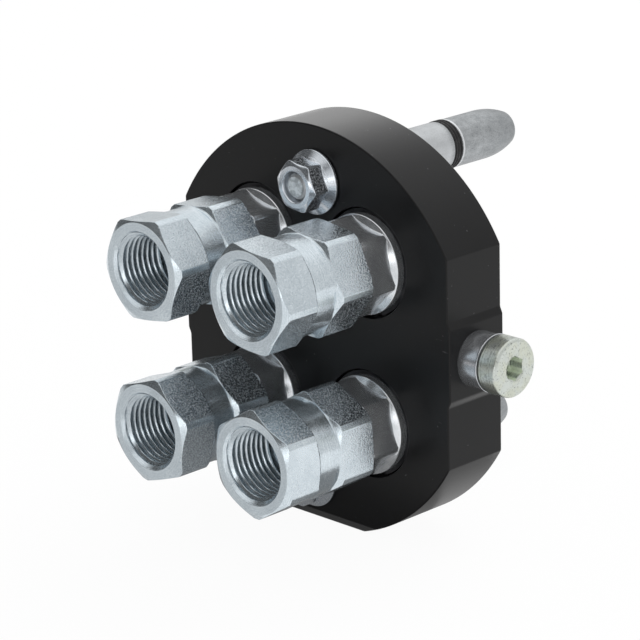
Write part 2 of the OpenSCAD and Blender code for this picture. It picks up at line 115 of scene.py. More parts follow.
azimuth, height, roll = (math.radians(a) for a in (VIEW_AZIMUTH, VIEW_HEIGHT, VIEW_ROLL))
towards = Vector((
    math.sin(azimuth) * math.cos(height),
    -math.cos(azimuth) * math.cos(height),
    math.sin(height)))
level_right = Vector((math.cos(azimuth), math.sin(azimuth), 0))
level_up = towards.cross(level_right)
right = level_right * math.cos(roll) + level_up * math.sin(roll)
up = towards.cross(right)
camera = placed("camera", bpy.data.cameras.new("camera"))
eye = towards * VIEW_DISTANCE + right * VIEW_SIDE + up * VIEW_UP + Vector((0, FRONT_Y, 0))
turned_axes = Matrix((right, up, towards)).transposed().to_4x4()
camera.matrix_world = Matrix.Translation(eye * MM) @ turned_axes
camera.data.sensor_width = SENSOR
camera.data.lens = FOCAL_PIXELS / PICTURE_PIXELS * SENSOR
bpy.context.scene.camera = camera
bpy.context.scene.view_settings.view_transform = "Standard"
print("lens", round(camera.data.lens, 1), "mm")

# %% [markdown]
# ## Node trees written as sums
# Both materials and Geometry Nodes do arithmetic with Math nodes. A small class wraps a socket
# and overloads the operators, so that an expression such as 1 - mask adds its own nodes. All
# other nodes come from one method that takes the node's type, its settings and its inputs.

# %% Sockets in expressions


class Wire:
    """A number socket that can stand in a Python expression."""

    def __init__(self, graph, socket):
        self.graph, self.socket = graph, socket

    def math(self, operation, *others):
        return self.graph.math(operation, self, *others)

    def __add__(self, other):
        return self.math("ADD", other)

    def __sub__(self, other):
        return self.math("SUBTRACT", other)

    def __mul__(self, other):
        return self.math("MULTIPLY", other)

    def __truediv__(self, other):
        return self.math("DIVIDE", other)

    def __rsub__(self, other):
        return self.graph.math("SUBTRACT", other, self)

    def __rtruediv__(self, other):
        return self.graph.math("DIVIDE", other, self)

    __radd__ = __add__
    __rmul__ = __mul__

    def at_least(self, other):
        return self.math("MAXIMUM", other)

    def at_most(self, other):
        return self.math("MINIMUM", other)

    def ramp(self, low, high):
        """A soft step from 0 at low to 1 at high. Low may be the greater of the two."""
        sockets = {"Value": self, "From Min": low, "From Max": high}
        return self.graph.add("ShaderNodeMapRange", sockets, interpolation_type="SMOOTHSTEP")


class Graph:
    """Adds nodes to a tree and links what it is given."""

    def __init__(self, tree):
        self.tree = tree

    def feed(self, socket, value):
        if isinstance(value, Wire):
            self.tree.links.new(value.socket, socket)
        else:
            socket.default_value = value

    def add(self, kind, sockets=None, out=0, **settings):
        """A node of this kind. Its settings come first, because they can change its sockets."""
        node = self.tree.nodes.new(kind)
        for key, value in settings.items():
            setattr(node, key, value)
        for key, value in (sockets or {}).items():
            self.feed(node.inputs[key], value)
        return Wire(self, node.outputs[out])

    def math(self, operation, *values):
        return self.add("ShaderNodeMath", dict(enumerate(values)), operation=operation)

    def split(self, vector):
        """The three numbers of a vector."""
        node = self.add("ShaderNodeSeparateXYZ", {0: vector}).socket.node
        return [Wire(self, socket) for socket in node.outputs]

    def noise(self, place, scale, detail, roughness, dimensions="3D"):
        slot = "W" if dimensions == "1D" else "Vector"
        sockets = {slot: place, "Scale": scale, "Detail": detail, "Roughness": roughness}
        return self.add("ShaderNodeTexNoise", sockets, noise_dimensions=dimensions)

    def mix(self, share, first, second):
        """A colour between two colours."""
        return self.add(
            "ShaderNodeMix", {0: share, 6: first, 7: second}, out=2, data_type="RGBA")


print("expressions ready")

# %% [markdown]
# ## A tree with named inputs
# A Geometry Nodes tree is built once and used by many modifiers. Each modifier sets the tree's
# inputs by the sockets' identifiers. When a piece is finished, the evaluated object becomes a
# plain mesh and the modifiers are removed.

# %% Geometry Nodes helpers
KINDS = {
    "Geometry": "NodeSocketGeometry", "Material": "NodeSocketMaterial",
    "Object": "NodeSocketObject", "Inside": "NodeSocketBool", "Turns": "NodeSocketInt"}


def new_tree(name, labels):
    """The graph of an empty Geometry Nodes tree, and the tree's inputs by their labels."""
    tree = bpy.data.node_groups.new(name, "GeometryNodeTree")
    for label in ["Geometry", *labels, "Material"]:
        kind = KINDS.get(label, "NodeSocketFloat")
        tree.interface.new_socket(label, in_out="INPUT", socket_type=kind)
    tree.interface.new_socket("Geometry", in_out="OUTPUT", socket_type=KINDS["Geometry"])
    graph = Graph(tree)
    entry = tree.nodes.new("NodeGroupInput")
    return graph, {socket.name: Wire(graph, socket) for socket in entry.outputs if socket.name}


def close_tree(graph, inputs, geometry):
    """Ends a tree with Realize Instances and Set Material, and hands it over."""
    real = graph.add("GeometryNodeRealizeInstances", {0: geometry})
    dressed = graph.add(
        "GeometryNodeSetMaterial", {"Geometry": real, "Material": inputs["Material"]})
    graph.feed(graph.tree.nodes.new("NodeGroupOutput").inputs[0], dressed)
    return graph.tree


def use_tree(piece, tree, **values):
    """Adds the tree to a piece as a modifier. An input's label is given with _ for a space."""
    modifier = piece.modifiers.new(tree.name, "NODES")
    modifier.node_group = tree
    for item in tree.interface.items_tree:
        label = item.name.lower().replace(" ", "_")
        if item.in_out == "INPUT" and label in values:
            modifier[item.identifier] = values[label]


print("tree helpers ready")

# %% [markdown]
# ## Turned blanks
# Nearly every piece of a coupling starts on a lathe. A blank is an outline of (radius, place)
# corners that is swung round the Y axis. Real corners are never quite sharp: a small arc at each
# of them catches a line of light, and that is most of what makes a machined edge look real.
# Each point also stores how far along the outline it lies. The lathe's tool travels that way,
# so turning marks can later follow it on faces, cones and cylinders alike.
# A corner is written (radius, place, ease, rows): the size of its arc, and the rows of faces
# that lead up to it. Both can be left out.

# %% Outlines with eased corners
EASE_STEPS = 3
LONGEST_EASE = 0.45


def eased(corners, closed=True):
    """Replaces each corner by its small arc and adds the rows before it."""
    full = [(*corner, *(0.0, 1)[len(corner) - 2:]) for corner in corners]
    arcs = []
    for i, (a, b, ease, _) in enumerate(full):
        here = Vector((a, b))
        if ease <= 0 or (not closed and i in (0, len(full) - 1)):
            arcs.append([here])
            continue
        back = Vector(full[i - 1][:2]) - here
        ahead = Vector(full[(i + 1) % len(full)][:2]) - here
        reach = min(ease, LONGEST_EASE * back.length, LONGEST_EASE * ahead.length)
        start = here + back.normalized() * reach
        end = here + ahead.normalized() * reach
        steps = [step / EASE_STEPS for step in range(EASE_STEPS + 1)]
        arcs.append([start * (1 - t) ** 2 + here * (2 * t * (1 - t)) + end * t ** 2
                     for t in steps])
    points = []
    for i, arc in enumerate(arcs):
        if i > 0 or closed:
            rows = full[i][3]
            points += [arcs[i - 1][-1].lerp(arc[0], row / rows) for row in range(1, rows)]
        points += arc
    return points


square = [(0, 0, 1), (0, 5, 1), (5, 5, 1), (5, 0, 1)]
print("a square with eased corners has", len(eased(square)), "points")

# %% [markdown]
# The blank is one grid of quads. A corner on the axis shrinks to a single point, so that no
# slivers are left there. All blanks stand on the Y axis: what is cut next is cut there, where
# the sums are simple, and a finished piece moves to its own axis at the end.

# %% Swing an outline round the axis
AXIS_REACH = 1e-6


def even(columns):
    """The angles of columns that are evenly spread round the axis."""
    return [2 * math.pi * column / columns for column in range(columns)]


def smooth_piece(bm, name):
    """Turns a bmesh into a smooth object whose faces point outwards."""
    bmesh.ops.recalc_face_normals(bm, faces=bm.faces)
    for face in bm.faces:
        face.smooth = True
    mesh = bpy.data.meshes.new(name)
    bm.to_mesh(mesh)
    bm.free()
    return placed(name, mesh)


def turned(name, corners, angles, closed=True):
    """A blank on the Y axis, in millimetres, with a column of points at each angle."""
    points = eased(corners, closed)
    columns = len(angles)
    bm = bmesh.new()
    feed = bm.verts.layers.float.new("feed")
    rings, travel = [], 0.0
    for i, point in enumerate(points):
        travel += (point - points[i - 1]).length if i else 0.0
        on_axis = abs(point.x) < AXIS_REACH
        ring = []
        for angle in angles[:1] if on_axis else angles:
            vert = bm.verts.new((point.x * math.cos(angle), point.y, point.x * math.sin(angle)))
            vert[feed] = travel
            ring.append(vert)
        rings.append(ring)
    pairs = list(zip(rings, rings[1:]))
    if closed:
        pairs.append((rings[-1], rings[0]))
    for low, high in pairs:
        for column in range(columns):
            after = (column + 1) % columns
            quad = [low[column % len(low)], low[after % len(low)],
                    high[after % len(high)], high[column % len(high)]]
            face = list(dict.fromkeys(quad))
            if len(face) > 2:
                bm.faces.new(face)
    return smooth_piece(bm, name)


print("lathe ready")

# %% [markdown]
# ## Finishing a piece
# Weighted normals keep the flats flat right up to their eased edges. Then the modifiers are
# baked into a plain mesh, the mesh moves from its lathe axis to its place on the plate, the piece
# gets its finish and is hung on the body it rides on, and the solids it stands for are hidden.

# %% From blank to piece
FULL_WEIGHT = 100


def baked(piece):
    """Turns the evaluated object into a plain mesh and clears its modifiers."""
    graph = bpy.context.evaluated_depsgraph_get()
    mesh = bpy.data.meshes.new_from_object(piece.evaluated_get(graph), depsgraph=graph)
    piece.modifiers.clear()
    piece.data = mesh
    mesh.name = piece.name


def at_node(node):
    """From the lathe axis to the axis of a guide pin or a coupler."""
    centre = middle(node)
    return Matrix.Translation((centre.x, 0, centre.z))


def at_line(line):
    return at_node("coupler_body_" + line)


def at_side(sign):
    """From the lathe axis to a side pin's axis, which points along +X or -X."""
    turn = Matrix.Rotation(-sign * math.pi / 2, 4, "Z")
    return Matrix.Translation((0, FRONT_Y / 2, 0)) @ turn


def finish(piece, material, nodes, place=None, body=BODY):
    """Bakes a blank, puts it in place in metres, hangs it on its body and hides the solids it
    stands for.
    """
    if not piece.data.materials:
        piece.data.materials.append(material)
    weighted = piece.modifiers.new("weighted normals", "WEIGHTED_NORMAL")
    weighted.mode = "FACE_AREA"
    weighted.weight = FULL_WEIGHT
    baked(piece)
    piece.data.transform(Matrix.Scale(MM, 4) @ (place or Matrix.Identity(4)))
    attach(piece, body)
    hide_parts(*nodes)


print("finishing ready")

# %% [markdown]
# ## Cutting by moving points
# The hexagons and the threads are cut in the same way: a tree works out a new distance from the
# axis for every point of the blank, and pushes the chosen points straight out or in to it.

# %% Helpers for both cuts


def polar(graph):
    """The three numbers of a point's place, its distance from the Y axis and its angle."""
    place = graph.split(graph.add("GeometryNodeInputPosition"))
    x, _, z = place
    radius = (x * x + z * z).math("SQRT").at_least(AXIS_REACH)
    return place, radius, z.math("ARCTAN2", x)


def between_ends(y, inputs):
    """1 where a point lies between the start and the end of the cut."""
    return y.math("GREATER_THAN", inputs["Start"]) * y.math("LESS_THAN", inputs["End"])


def pushed(graph, geometry, chosen, place, scale):
    """The geometry with the chosen points' distance from the axis multiplied by scale."""
    x, y, z = place
    there = graph.add("ShaderNodeCombineXYZ", {0: x * scale, 1: y, 2: z * scale})
    return graph.add("GeometryNodeSetPosition", {
        "Geometry": geometry, "Selection": chosen, "Position": there})


print("helpers for both cuts ready")

# %% [markdown]
# ## Milling a hexagon
# The corners of these hexagons are turned first and the flats are milled afterwards. As a rule
# in polar terms: a point keeps its radius unless the flat lies further in, and the smooth
# minimum leaves a small radius along each edge. A flat's distance from the axis at an angle is
# half the width across flats over the cosine. Close to an open end the flat turns in by the
# radius of the end's edge, and where a cone rises to a collar the cutter runs out over it.
# The end's edge may be wider than the long edges: the radius changes over the first millimetre.
# The same tree broaches the hexagon socket of a screw, with the maximum instead.
# It also marks what was milled, for the material, before the points move.

# %% Hexagon tree
SECTOR = math.pi / 6
EDGE_CHANGE = (0.45, 0.9)
LEAST_REACH = 0.85
SEEN_CUT = (0.02, 0.15)


def hexagon_tree():
    graph, inputs = new_tree("Hexagon", [
        "Across Flats", "Turn", "Start", "End", "Edge", "End Edge", "Open Start", "Open End",
        "Collar", "Collar Slope", "Inside"])
    place, radius, bearing = polar(graph)
    y = place[1]
    angle = (bearing - inputs["Turn"] - SECTOR).math("WRAP", SECTOR, -SECTOR)
    half_width = inputs["Across Flats"] * 0.5
    end_edge = inputs["End Edge"]
    depth_in = (y - inputs["Start"]).at_most(inputs["End"] - y)
    edge = end_edge + (inputs["Edge"] - end_edge) * depth_in.ramp(*EDGE_CHANGE)

    def turn_in(depth):
        """How far the eased edge lies inside the flat at this depth from the end's face."""
        rest = (end_edge - depth.at_least(0.0)).at_least(0.0)
        return end_edge - (end_edge * end_edge - rest * rest).at_least(0.0).math("SQRT")

    eased_ends = turn_in(y - inputs["Open Start"]) + turn_in(inputs["Open End"] - y)
    flat = (half_width - eased_ends) / angle.math("COSINE")
    milled = radius.math("SMOOTH_MIN", flat, edge)
    cone = inputs["Collar"] - (inputs["End"] - y) * inputs["Collar Slope"]
    outside = milled.at_least(cone.at_most(radius))
    inside = radius.math("SMOOTH_MAX", flat, edge)
    result = graph.add("GeometryNodeSwitch", {
        "Switch": inputs["Inside"], "False": outside, "True": inside}, input_type="FLOAT")
    reached = radius.math("GREATER_THAN", half_width * LEAST_REACH)
    chosen = between_ends(y, inputs) * reached
    marked = graph.add("GeometryNodeStoreNamedAttribute", {
        "Geometry": inputs["Geometry"], "Name": "milled", "Selection": chosen,
        "Value": (radius - result).math("ABSOLUTE").ramp(*SEEN_CUT)},
        data_type="FLOAT", domain="POINT")
    return close_tree(graph, inputs, pushed(graph, marked, chosen, place, result / radius))


HEXAGON = hexagon_tree()
print("hexagon inputs:", len(HEXAGON.interface.items_tree))

# %% [markdown]
# Each cut is one modifier. A blank has its columns of points where the cut needs them: evenly on
# the flats, and close together where a flat meets the turned corner.

# %% Mill and its columns
FAR, OVERLAP, FINE_EDGE = 1000.0, AXIS_REACH * 10, 0.12
FLAT_COLUMNS, EDGE_ARC = 20, 1.0


def mill(piece, across_flats, turn, low, high, material, edge=FINE_EDGE, end_edge=FINE_EDGE,
         open_low=True, open_high=False, collar=0.0, slope=0.0, inside=False):
    """Mills or broaches a hexagon between two places. Turn is in degrees."""
    if "milled" not in piece.data.attributes:
        piece.data.attributes.new("milled", "FLOAT", "POINT")
    use_tree(piece, HEXAGON, across_flats=across_flats, turn=math.radians(turn),
             start=low - OVERLAP, end=high + OVERLAP, edge=edge, end_edge=end_edge,
             open_start=low if open_low else -FAR, open_end=high if open_high else FAR,
             collar=collar, collar_slope=slope, inside=inside, material=material)


def hexagon_angles(turn, across_flats, corner_r):
    """Angles of the columns, with some exactly where the flats meet the turned corners."""
    border = math.degrees(math.acos(across_flats / 2 / corner_r))
    flat = [(border - EDGE_ARC) * (2 * i / FLAT_COLUMNS - 1) for i in range(FLAT_COLUMNS + 1)]
    side = [border + EDGE_ARC * step / 2 for step in (-1, 0, 1, 2)]
    side.append((side[-1] + 30) / 2)
    offsets = [-30, *(-angle for angle in reversed(side)), *flat, *side]
    return [math.radians(turn + 30 + 60 * k + offset) for k in range(6) for offset in offsets]


print("columns round a hexagon:", len(hexagon_angles(0, 13, 7.3)))

# %% [markdown]
# ## Cutting a pipe thread
# The port is a G 1/2 thread, and its ridges fill most of the picture's nearest ports. A bump map
# would lie flat at the mouth, where the first turns run out into the countersink, so the thread
# is real: each point of the bore moves out by the depth of the groove at its angle and place.
# The groove's depth is a clipped triangle of the phase, which is the place divided by the pitch
# less the share of a turn. The maximum lets the countersink cut the ridges off.

# %% Thread tree
FLANK_SLOPE, RIDGE_ROUND, RUN_OUT_TURNS, WALL_SHARE = 1.35, 0.06, 0.4, 0.98


def thread_tree():
    graph, inputs = new_tree("Thread", [
        "Crest Radius", "Depth", "Pitch", "Start", "End", "Widest"])
    place, radius, angle = polar(graph)
    y = place[1]
    phase = y / inputs["Pitch"] - angle / (2 * math.pi)
    triangle = phase.math("PINGPONG", 0.5) * 2
    clipped = ((triangle - 0.5) * FLANK_SLOPE + 0.5).at_least(0.0).at_most(1.0)
    fade = y.ramp(inputs["End"], inputs["End"] - inputs["Pitch"] * RUN_OUT_TURNS)
    groove = inputs["Crest Radius"] + inputs["Depth"] * clipped * fade
    result = radius.math("SMOOTH_MAX", groove, RIDGE_ROUND)
    in_bore = radius.math("LESS_THAN", inputs["Widest"])
    in_wall = radius.math("GREATER_THAN", inputs["Crest Radius"] * WALL_SHARE)
    chosen = between_ends(y, inputs) * in_bore * in_wall
    shaped = pushed(graph, inputs["Geometry"], chosen, place, result / radius)
    return close_tree(graph, inputs, shaped)


THREAD = thread_tree()
print("thread inputs:", len(THREAD.interface.items_tree))

# %% [markdown]
# ## Materials
# Each finish starts from the same class: a Principled shader, noises in the object's own
# coordinates in metres, and the two values that the lathe and the mill left on the mesh. Colours
# vary a little everywhere, because plated steel is never one tone. How much each noise counts
# was found one by one: a finish was rendered, set beside the photograph and mixed again.

# %% Material helper


def socket_name(label):
    """The name of a socket, from a label with _ for each space."""
    return label.replace("_", " ")


class Finish(Graph):
    """The graph of a material, with the noises that its surface needs."""

    def __init__(self, name, **constants):
        self.material = bpy.data.materials.new(name)
        self.material.use_nodes = True
        super().__init__(self.material.node_tree)
        self.shader = self.tree.nodes["Principled BSDF"]
        for label, value in constants.items():
            self.shader.inputs[socket_name(label)].default_value = value
        self.place = self.add("ShaderNodeTexCoord", out="Object")

    def attribute(self, name):
        return self.add("ShaderNodeAttribute", out="Fac", attribute_name=name)

    def spots(self, per_metre, detail, roughness):
        """A noise in space with about this many spots in a metre."""
        return self.noise(self.place, per_metre, detail, roughness)

    def streaks(self, per_metre, detail, roughness):
        """A noise with another number of spots in a metre along each axis."""
        place = self.add(
            "ShaderNodeVectorMath", {0: self.place, 1: per_metre}, operation="MULTIPLY")
        return self.noise(place, 1.0, detail, roughness)

    def tool_marks(self, per_millimetre, detail=3, roughness=0.7):
        """A noise along the way of the lathe's tool."""
        return self.noise(self.attribute("feed"), per_millimetre, detail, roughness, "1D")

    def dressed(self, colour, rough, height, depth, **others):
        """The material with its shader fed. The bump's full height is depth metres."""
        bump = self.add("ShaderNodeBump", {"Height": height, "Distance": depth, "Strength": 1.0})
        fed = {"Base_Color": colour, "Roughness": rough, "Normal": bump, **others}
        for label, value in fed.items():
            self.feed(self.shader.inputs[socket_name(label)], value)
        return self.material


print("material helper ready")

# %% [markdown]
# ### Black anodised aluminium
# Anodising leaves the milled surface as it was and dyes it, so the plate is a satin black with a
# faint tool pattern below. Handling leaves small pale scuffs, mostly as short scratches, and a
# few specks of dust. The coat is thick only where the surface is seen at a low angle.

# %% Black anodised finish


def black_anodised():
    f = Finish("black_anodised", IOR=1.45, Specular_IOR_Level=0.3, Coat_Roughness=0.25)
    cloud = f.spots(38, 3, 0.6)
    grain = f.spots(2400, 2, 0.6)
    tool = f.streaks((60, 60, 2600), 2, 0.5)
    specks = f.spots(900, 2, 0.4).ramp(0.745, 0.79)
    scratches = f.streaks((300, 300, 1700), 3, 0.5).ramp(0.70, 0.78)
    scuffs = scratches * f.spots(55, 1, 0.5).ramp(0.52, 0.66)
    base = f.mix(cloud, (0.003, 0.003, 0.0035, 1), (0.008, 0.008, 0.0085, 1))
    worn = f.mix(specks * 0.5 + scuffs * 0.35, base, (0.16, 0.16, 0.165, 1))
    grazing = f.add("ShaderNodeLayerWeight", {"Blend": 0.5}, out="Facing")
    rough = 0.27 + cloud * 0.1 + grain * 0.06
    height = grain * 0.55 + tool * 0.45
    return f.dressed(worn, rough, height, depth=0.000012, Coat_Weight=grazing.ramp(0.42, 0.78))


BLACK = black_anodised()
print("made", BLACK.name)

# %% [markdown]
# ### Bright zinc plating
# Clear passivated zinc is a cold silver. On the milled flats the plating shows a fine grain,
# which is in the bump, the colour and also in how metallic it is, so that it sparkles where it
# meets a dark reflection. On turned surfaces the marks of the tool run round, and the grain is
# weak. A broad, slow change of tone keeps large flats from looking printed.

# %% Bright zinc finish


def bright_zinc(name, dark, light, smoothness, depth, metal):
    f = Finish(name)
    grain = f.spots(2600, 2, 0.6)
    cloud = f.spots(130, 3, 0.6)
    milled = f.attribute("milled")
    marks = f.tool_marks(3.5) * (1 - milled)
    tone = grain * 0.5 + cloud * 0.3 + marks * 0.3 + milled * 0.15
    sparkle = grain.ramp(0.44, 0.60) - 0.5
    rough = smoothness + cloud * 0.08 + grain * 0.06
    height = grain * (0.08 + milled * 0.92) + marks * 0.2
    return f.dressed(f.mix(tone.ramp(0.35, 0.8), dark, light), rough, height, depth,
                     Metallic=metal - sparkle * (0.06 + milled * 0.3))


ZINC = bright_zinc(
    "bright_zinc", (0.52, 0.59, 0.64, 1), (0.84, 0.92, 0.97, 1),
    smoothness=0.13, depth=0.00007, metal=0.84)
NUT_ZINC = bright_zinc(
    "nut_zinc", (0.64, 0.69, 0.75, 1), (0.88, 0.92, 0.96, 1),
    smoothness=0.09, depth=0.00003, metal=0.86)
print("made", ZINC.name, NUT_ZINC.name)

# %% [markdown]
# ### Polished, dark and spring steel
# The coupler bodies are plated bright over a smooth hexagon, so they mostly show the black plate
# in front of them. The rollers are turned from a darker steel. The snap rings and springs are
# blackened, and the snap rings' near-black colour is also painted shade of the dark recess.

# %% Steel finishes


def plain_steel(name, dark, light, smoothness, depth):
    f = Finish(name, Metallic=0.86)
    cloud = f.spots(210, 3, 0.6)
    grain = f.spots(1900, 2, 0.6)
    marks = f.tool_marks(9.0)
    turned_share = 1 - f.attribute("milled")
    tone = (cloud * 0.7 + marks * 0.3).ramp(0.25, 0.8)
    rough = smoothness + cloud * 0.1 + grain * 0.06
    height = grain * 0.5 + marks * turned_share * 0.7
    return f.dressed(f.mix(tone, dark, light), rough, height, depth)


POLISHED = plain_steel(
    "polished_steel", (0.62, 0.65, 0.68, 1), (0.90, 0.92, 0.94, 1),
    smoothness=0.12, depth=0.000008)
DARK = plain_steel(
    "dark_steel", (0.40, 0.41, 0.43, 1), (0.74, 0.76, 0.79, 1),
    smoothness=0.16, depth=0.000008)
# Near black: blackened steel, and painted shade of the snap rings' dark recess.
SPRING = plain_steel(
    "spring_steel", (0.01, 0.01, 0.011, 1), (0.05, 0.05, 0.053, 1),
    smoothness=0.3, depth=0.00004)
print("made", POLISHED.name, DARK.name, SPRING.name)

# %% [markdown]
# ### Dull zinc
# The guide pins have a thicker, older plating: pale grey and blotchy. It is painted lighter near
# the plate as a painted highlight, has small dark pits beyond the rubber ring, and is rubbed dark
# where the pin runs into the other half. A painted highlight, pale and less metallic, lies on the
# edge just beyond the ring, and the cut end of the stud is bright.
# Each part of a pin is a soft step between two places along it, in metres.

# %% Dull zinc finish
STUD_END = (-0.0282, -0.0285)
# Lighter near the plate: a painted highlight.
HIGHLIGHT_NEAR_PLATE = (0.027, 0.025)
PITTED_PART = (0.028, 0.034)
# A pale, less metallic band on the edge beyond the ring: a painted highlight.
GROOVE_EDGE_HIGHLIGHT = ((0.0303, 0.0305), (0.0312, 0.0309))
RUBBED_PART = (0.038, 0.054)


def dull_zinc():
    f = Finish("dull_zinc")
    blotch = f.spots(420, 4, 0.65)
    fine = f.spots(2800, 3, 0.7)
    streak = f.streaks((700, 120, 700), 3, 0.6)
    along = f.split(f.place)[1]
    rubbed = along.ramp(*RUBBED_PART) * (0.1 + blotch * 0.4)
    pits = fine.ramp(0.36, 0.28) * along.ramp(*PITTED_PART)
    tone = (blotch * 0.35 + fine * 0.4 + streak * 0.25).ramp(0.33, 0.66)
    base = f.mix(tone, (0.27, 0.285, 0.295, 1), (0.52, 0.54, 0.555, 1))
    dirty = f.mix((rubbed + pits).at_most(0.8), base, (0.10, 0.11, 0.12, 1))
    # Painted highlights: lighter near the plate and on the edge beyond the ring.
    edge_highlight = along.ramp(*GROOVE_EDGE_HIGHLIGHT[0]) * along.ramp(*GROOVE_EDGE_HIGHLIGHT[1])
    bright = (along.ramp(*HIGHLIGHT_NEAR_PLATE) * 0.45 + edge_highlight).at_most(1.0)
    pin = f.mix(bright, dirty, (0.78, 0.80, 0.82, 1))
    cut = f.mix(blotch.ramp(0.4, 0.6), (0.50, 0.54, 0.56, 1), (0.92, 0.97, 1.0, 1))
    rough = 0.37 + blotch * 0.2 - rubbed * 0.1
    height = fine * 0.6 + blotch * 0.4
    return f.dressed(f.mix(along.ramp(*STUD_END), pin, cut), rough, height, depth=0.00003,
                     Metallic=0.85 - edge_highlight * 0.6)


DULL = dull_zinc()
print("made", DULL.name)

# %% [markdown]
# ### Passivated zinc
# The side screws are passivated a faint greenish yellow. The side of the head is streaked and its
# face is speckled with dark spots. The broached socket is painted paler and greener, and is less
# metallic: painted light in its deep hollow.

# %% Passivated finish
HEAD_SIDE = (0.0635, 0.0625)


def passivated_zinc():
    f = Finish("passivated_zinc")
    patch = f.spots(260, 3, 0.6)
    fine = f.spots(1700, 3, 0.75)
    drip = f.streaks((150, 500, 500), 3, 0.6)
    marks = f.tool_marks(3.0)
    milled = f.attribute("milled")
    hue = f.mix(patch.ramp(0.4, 0.62), (0.66, 0.70, 0.66, 1), (0.66, 0.69, 0.60, 1))
    on_side = f.split(f.place)[0].math("ABSOLUTE").ramp(*HEAD_SIDE)
    face_tone = fine.ramp(0.30, 0.46) * 0.8 + drip * 0.3
    side_tone = (drip * 0.3 + marks * 0.35 + fine * 0.35).ramp(0.36, 0.54)
    share = (face_tone * (1 - on_side) + side_tone * on_side).at_most(1.0)
    plated = f.mix(share, (0.2, 0.215, 0.2, 1), hue)
    specks = fine.ramp(0.31, 0.26) * (1 - on_side)
    spotted = f.mix(specks, plated, (0.12, 0.13, 0.09, 1))
    # The broached socket is painted pale green and made less metallic: painted light in its
    # hollow.
    colour = f.mix(milled * 0.8, spotted, (0.86, 0.96, 0.76, 1))
    rough = 0.24 + patch * 0.2
    height = fine * 0.7 + drip * 0.3
    return f.dressed(colour, rough, height, depth=0.00003, Metallic=0.92 - milled * 0.75)


PASSIVATED = passivated_zinc()
print("made", PASSIVATED.name)

# %% [markdown]
# ### Rubber
# The rings are nitrile rubber: nearly black, with a soft sheen and fine moulding lines round.

# %% Rubber finish


def nitrile():
    f = Finish("rubber", Specular_IOR_Level=0.4)
    bloom = f.spots(500, 3, 0.6)
    lines = f.tool_marks(6.0, 2, 0.6)
    colour = f.mix(bloom.ramp(0.4, 0.75), (0.010, 0.010, 0.011, 1), (0.045, 0.045, 0.047, 1))
    rough = 0.42 + bloom * 0.2
    height = bloom * 0.4 + lines * 0.6
    return f.dressed(colour, rough, height, depth=0.00002)


RUBBER = nitrile()
print("made", RUBBER.name)

# %% [markdown]
# ## Port adapters
# An adapter is one bar: a hexagon at the port, a turned neck and a second hexagon at the coupler
# body. The outline below is turned and then milled twice. The lathe cuts a chamfer at each end
# of both hexagons, the broadest at the port, so the flats end in arcs as those of a nut do.
# Inside come the countersink, the thread, a relief and the passage to the valve.

# %% Port adapters
ADAPTER_FLATS, ADAPTER_CORNER_R, ADAPTER_FACE_R, PORT_FACE_R = 27.0, 15.1, 14.2, 13.2
ADAPTER_TURNS = dict(zip(LINES, [7, -7, 18, 31]))
FRONT_HEX_L, NECK_L, NECK_R = 12.0, 7.5, 13.4
CHAMFER_SLOPE = math.tan(math.radians(30))
CREST_R, THREAD_DEPTH, THREAD_PITCH, MOUTH_R = 9.315, 1.16, 1.814, 10.9
PORT_L, PASSAGE_R, RELIEF_L = 16.0, 7.5, 0.7
TAIL_BORE_R, SEAL_R, SEAL_L = 11.05, 12.45, 1.4
THREAD_ROWS, ADAPTER_END_EDGE = 104, 0.28
THREAD_START, THREAD_LEAD, RELIEF_BEVEL, SOCKET_PLAY = 0.2, 0.3, 0.3, 0.15
port_hex_y = PORT_Y + FRONT_HEX_L
neck_y = port_hex_y + NECK_L
port_end_y = PORT_Y + PORT_L
socket_y = TAIL_Y - SOCKET_PLAY
port_drop, face_drop, neck_drop = (
    (ADAPTER_CORNER_R - radius) * CHAMFER_SLOPE
    for radius in (PORT_FACE_R, ADAPTER_FACE_R, NECK_R))
mouth_l = MOUTH_R - CREST_R
thread_end_y = port_end_y - RELIEF_L

ADAPTER_OUTLINE = [
    (MOUTH_R, PORT_Y, 0.06),
    (PORT_FACE_R, PORT_Y, 0.1, 6),
    (ADAPTER_CORNER_R, PORT_Y + port_drop, 0.12, 20),
    (ADAPTER_CORNER_R, port_hex_y - neck_drop, 0.12, 6),
    (NECK_R, port_hex_y, 0.3, 12),
    (NECK_R, neck_y, 0.35, 8),
    (ADAPTER_CORNER_R, neck_y + neck_drop, 0.12, 16),
    (ADAPTER_CORNER_R, ADAPTER_Y - face_drop, 0.12, 6),
    (ADAPTER_FACE_R, ADAPTER_Y, 0.12, 9),
    (SEAL_R, ADAPTER_Y, 0.1, 8),
    (SEAL_R, ADAPTER_Y - SEAL_L),
    (TAIL_BORE_R, ADAPTER_Y - SEAL_L),
    (TAIL_BORE_R, socket_y),
    (PASSAGE_R, socket_y),
    (PASSAGE_R, port_end_y, 0.2),
    (CREST_R + THREAD_DEPTH, port_end_y),
    (CREST_R + THREAD_DEPTH, thread_end_y + RELIEF_BEVEL),
    (CREST_R, thread_end_y),
    (CREST_R, PORT_Y + mouth_l, 0, THREAD_ROWS),
    (MOUTH_R - THREAD_LEAD, PORT_Y + THREAD_LEAD, 0, 12)]

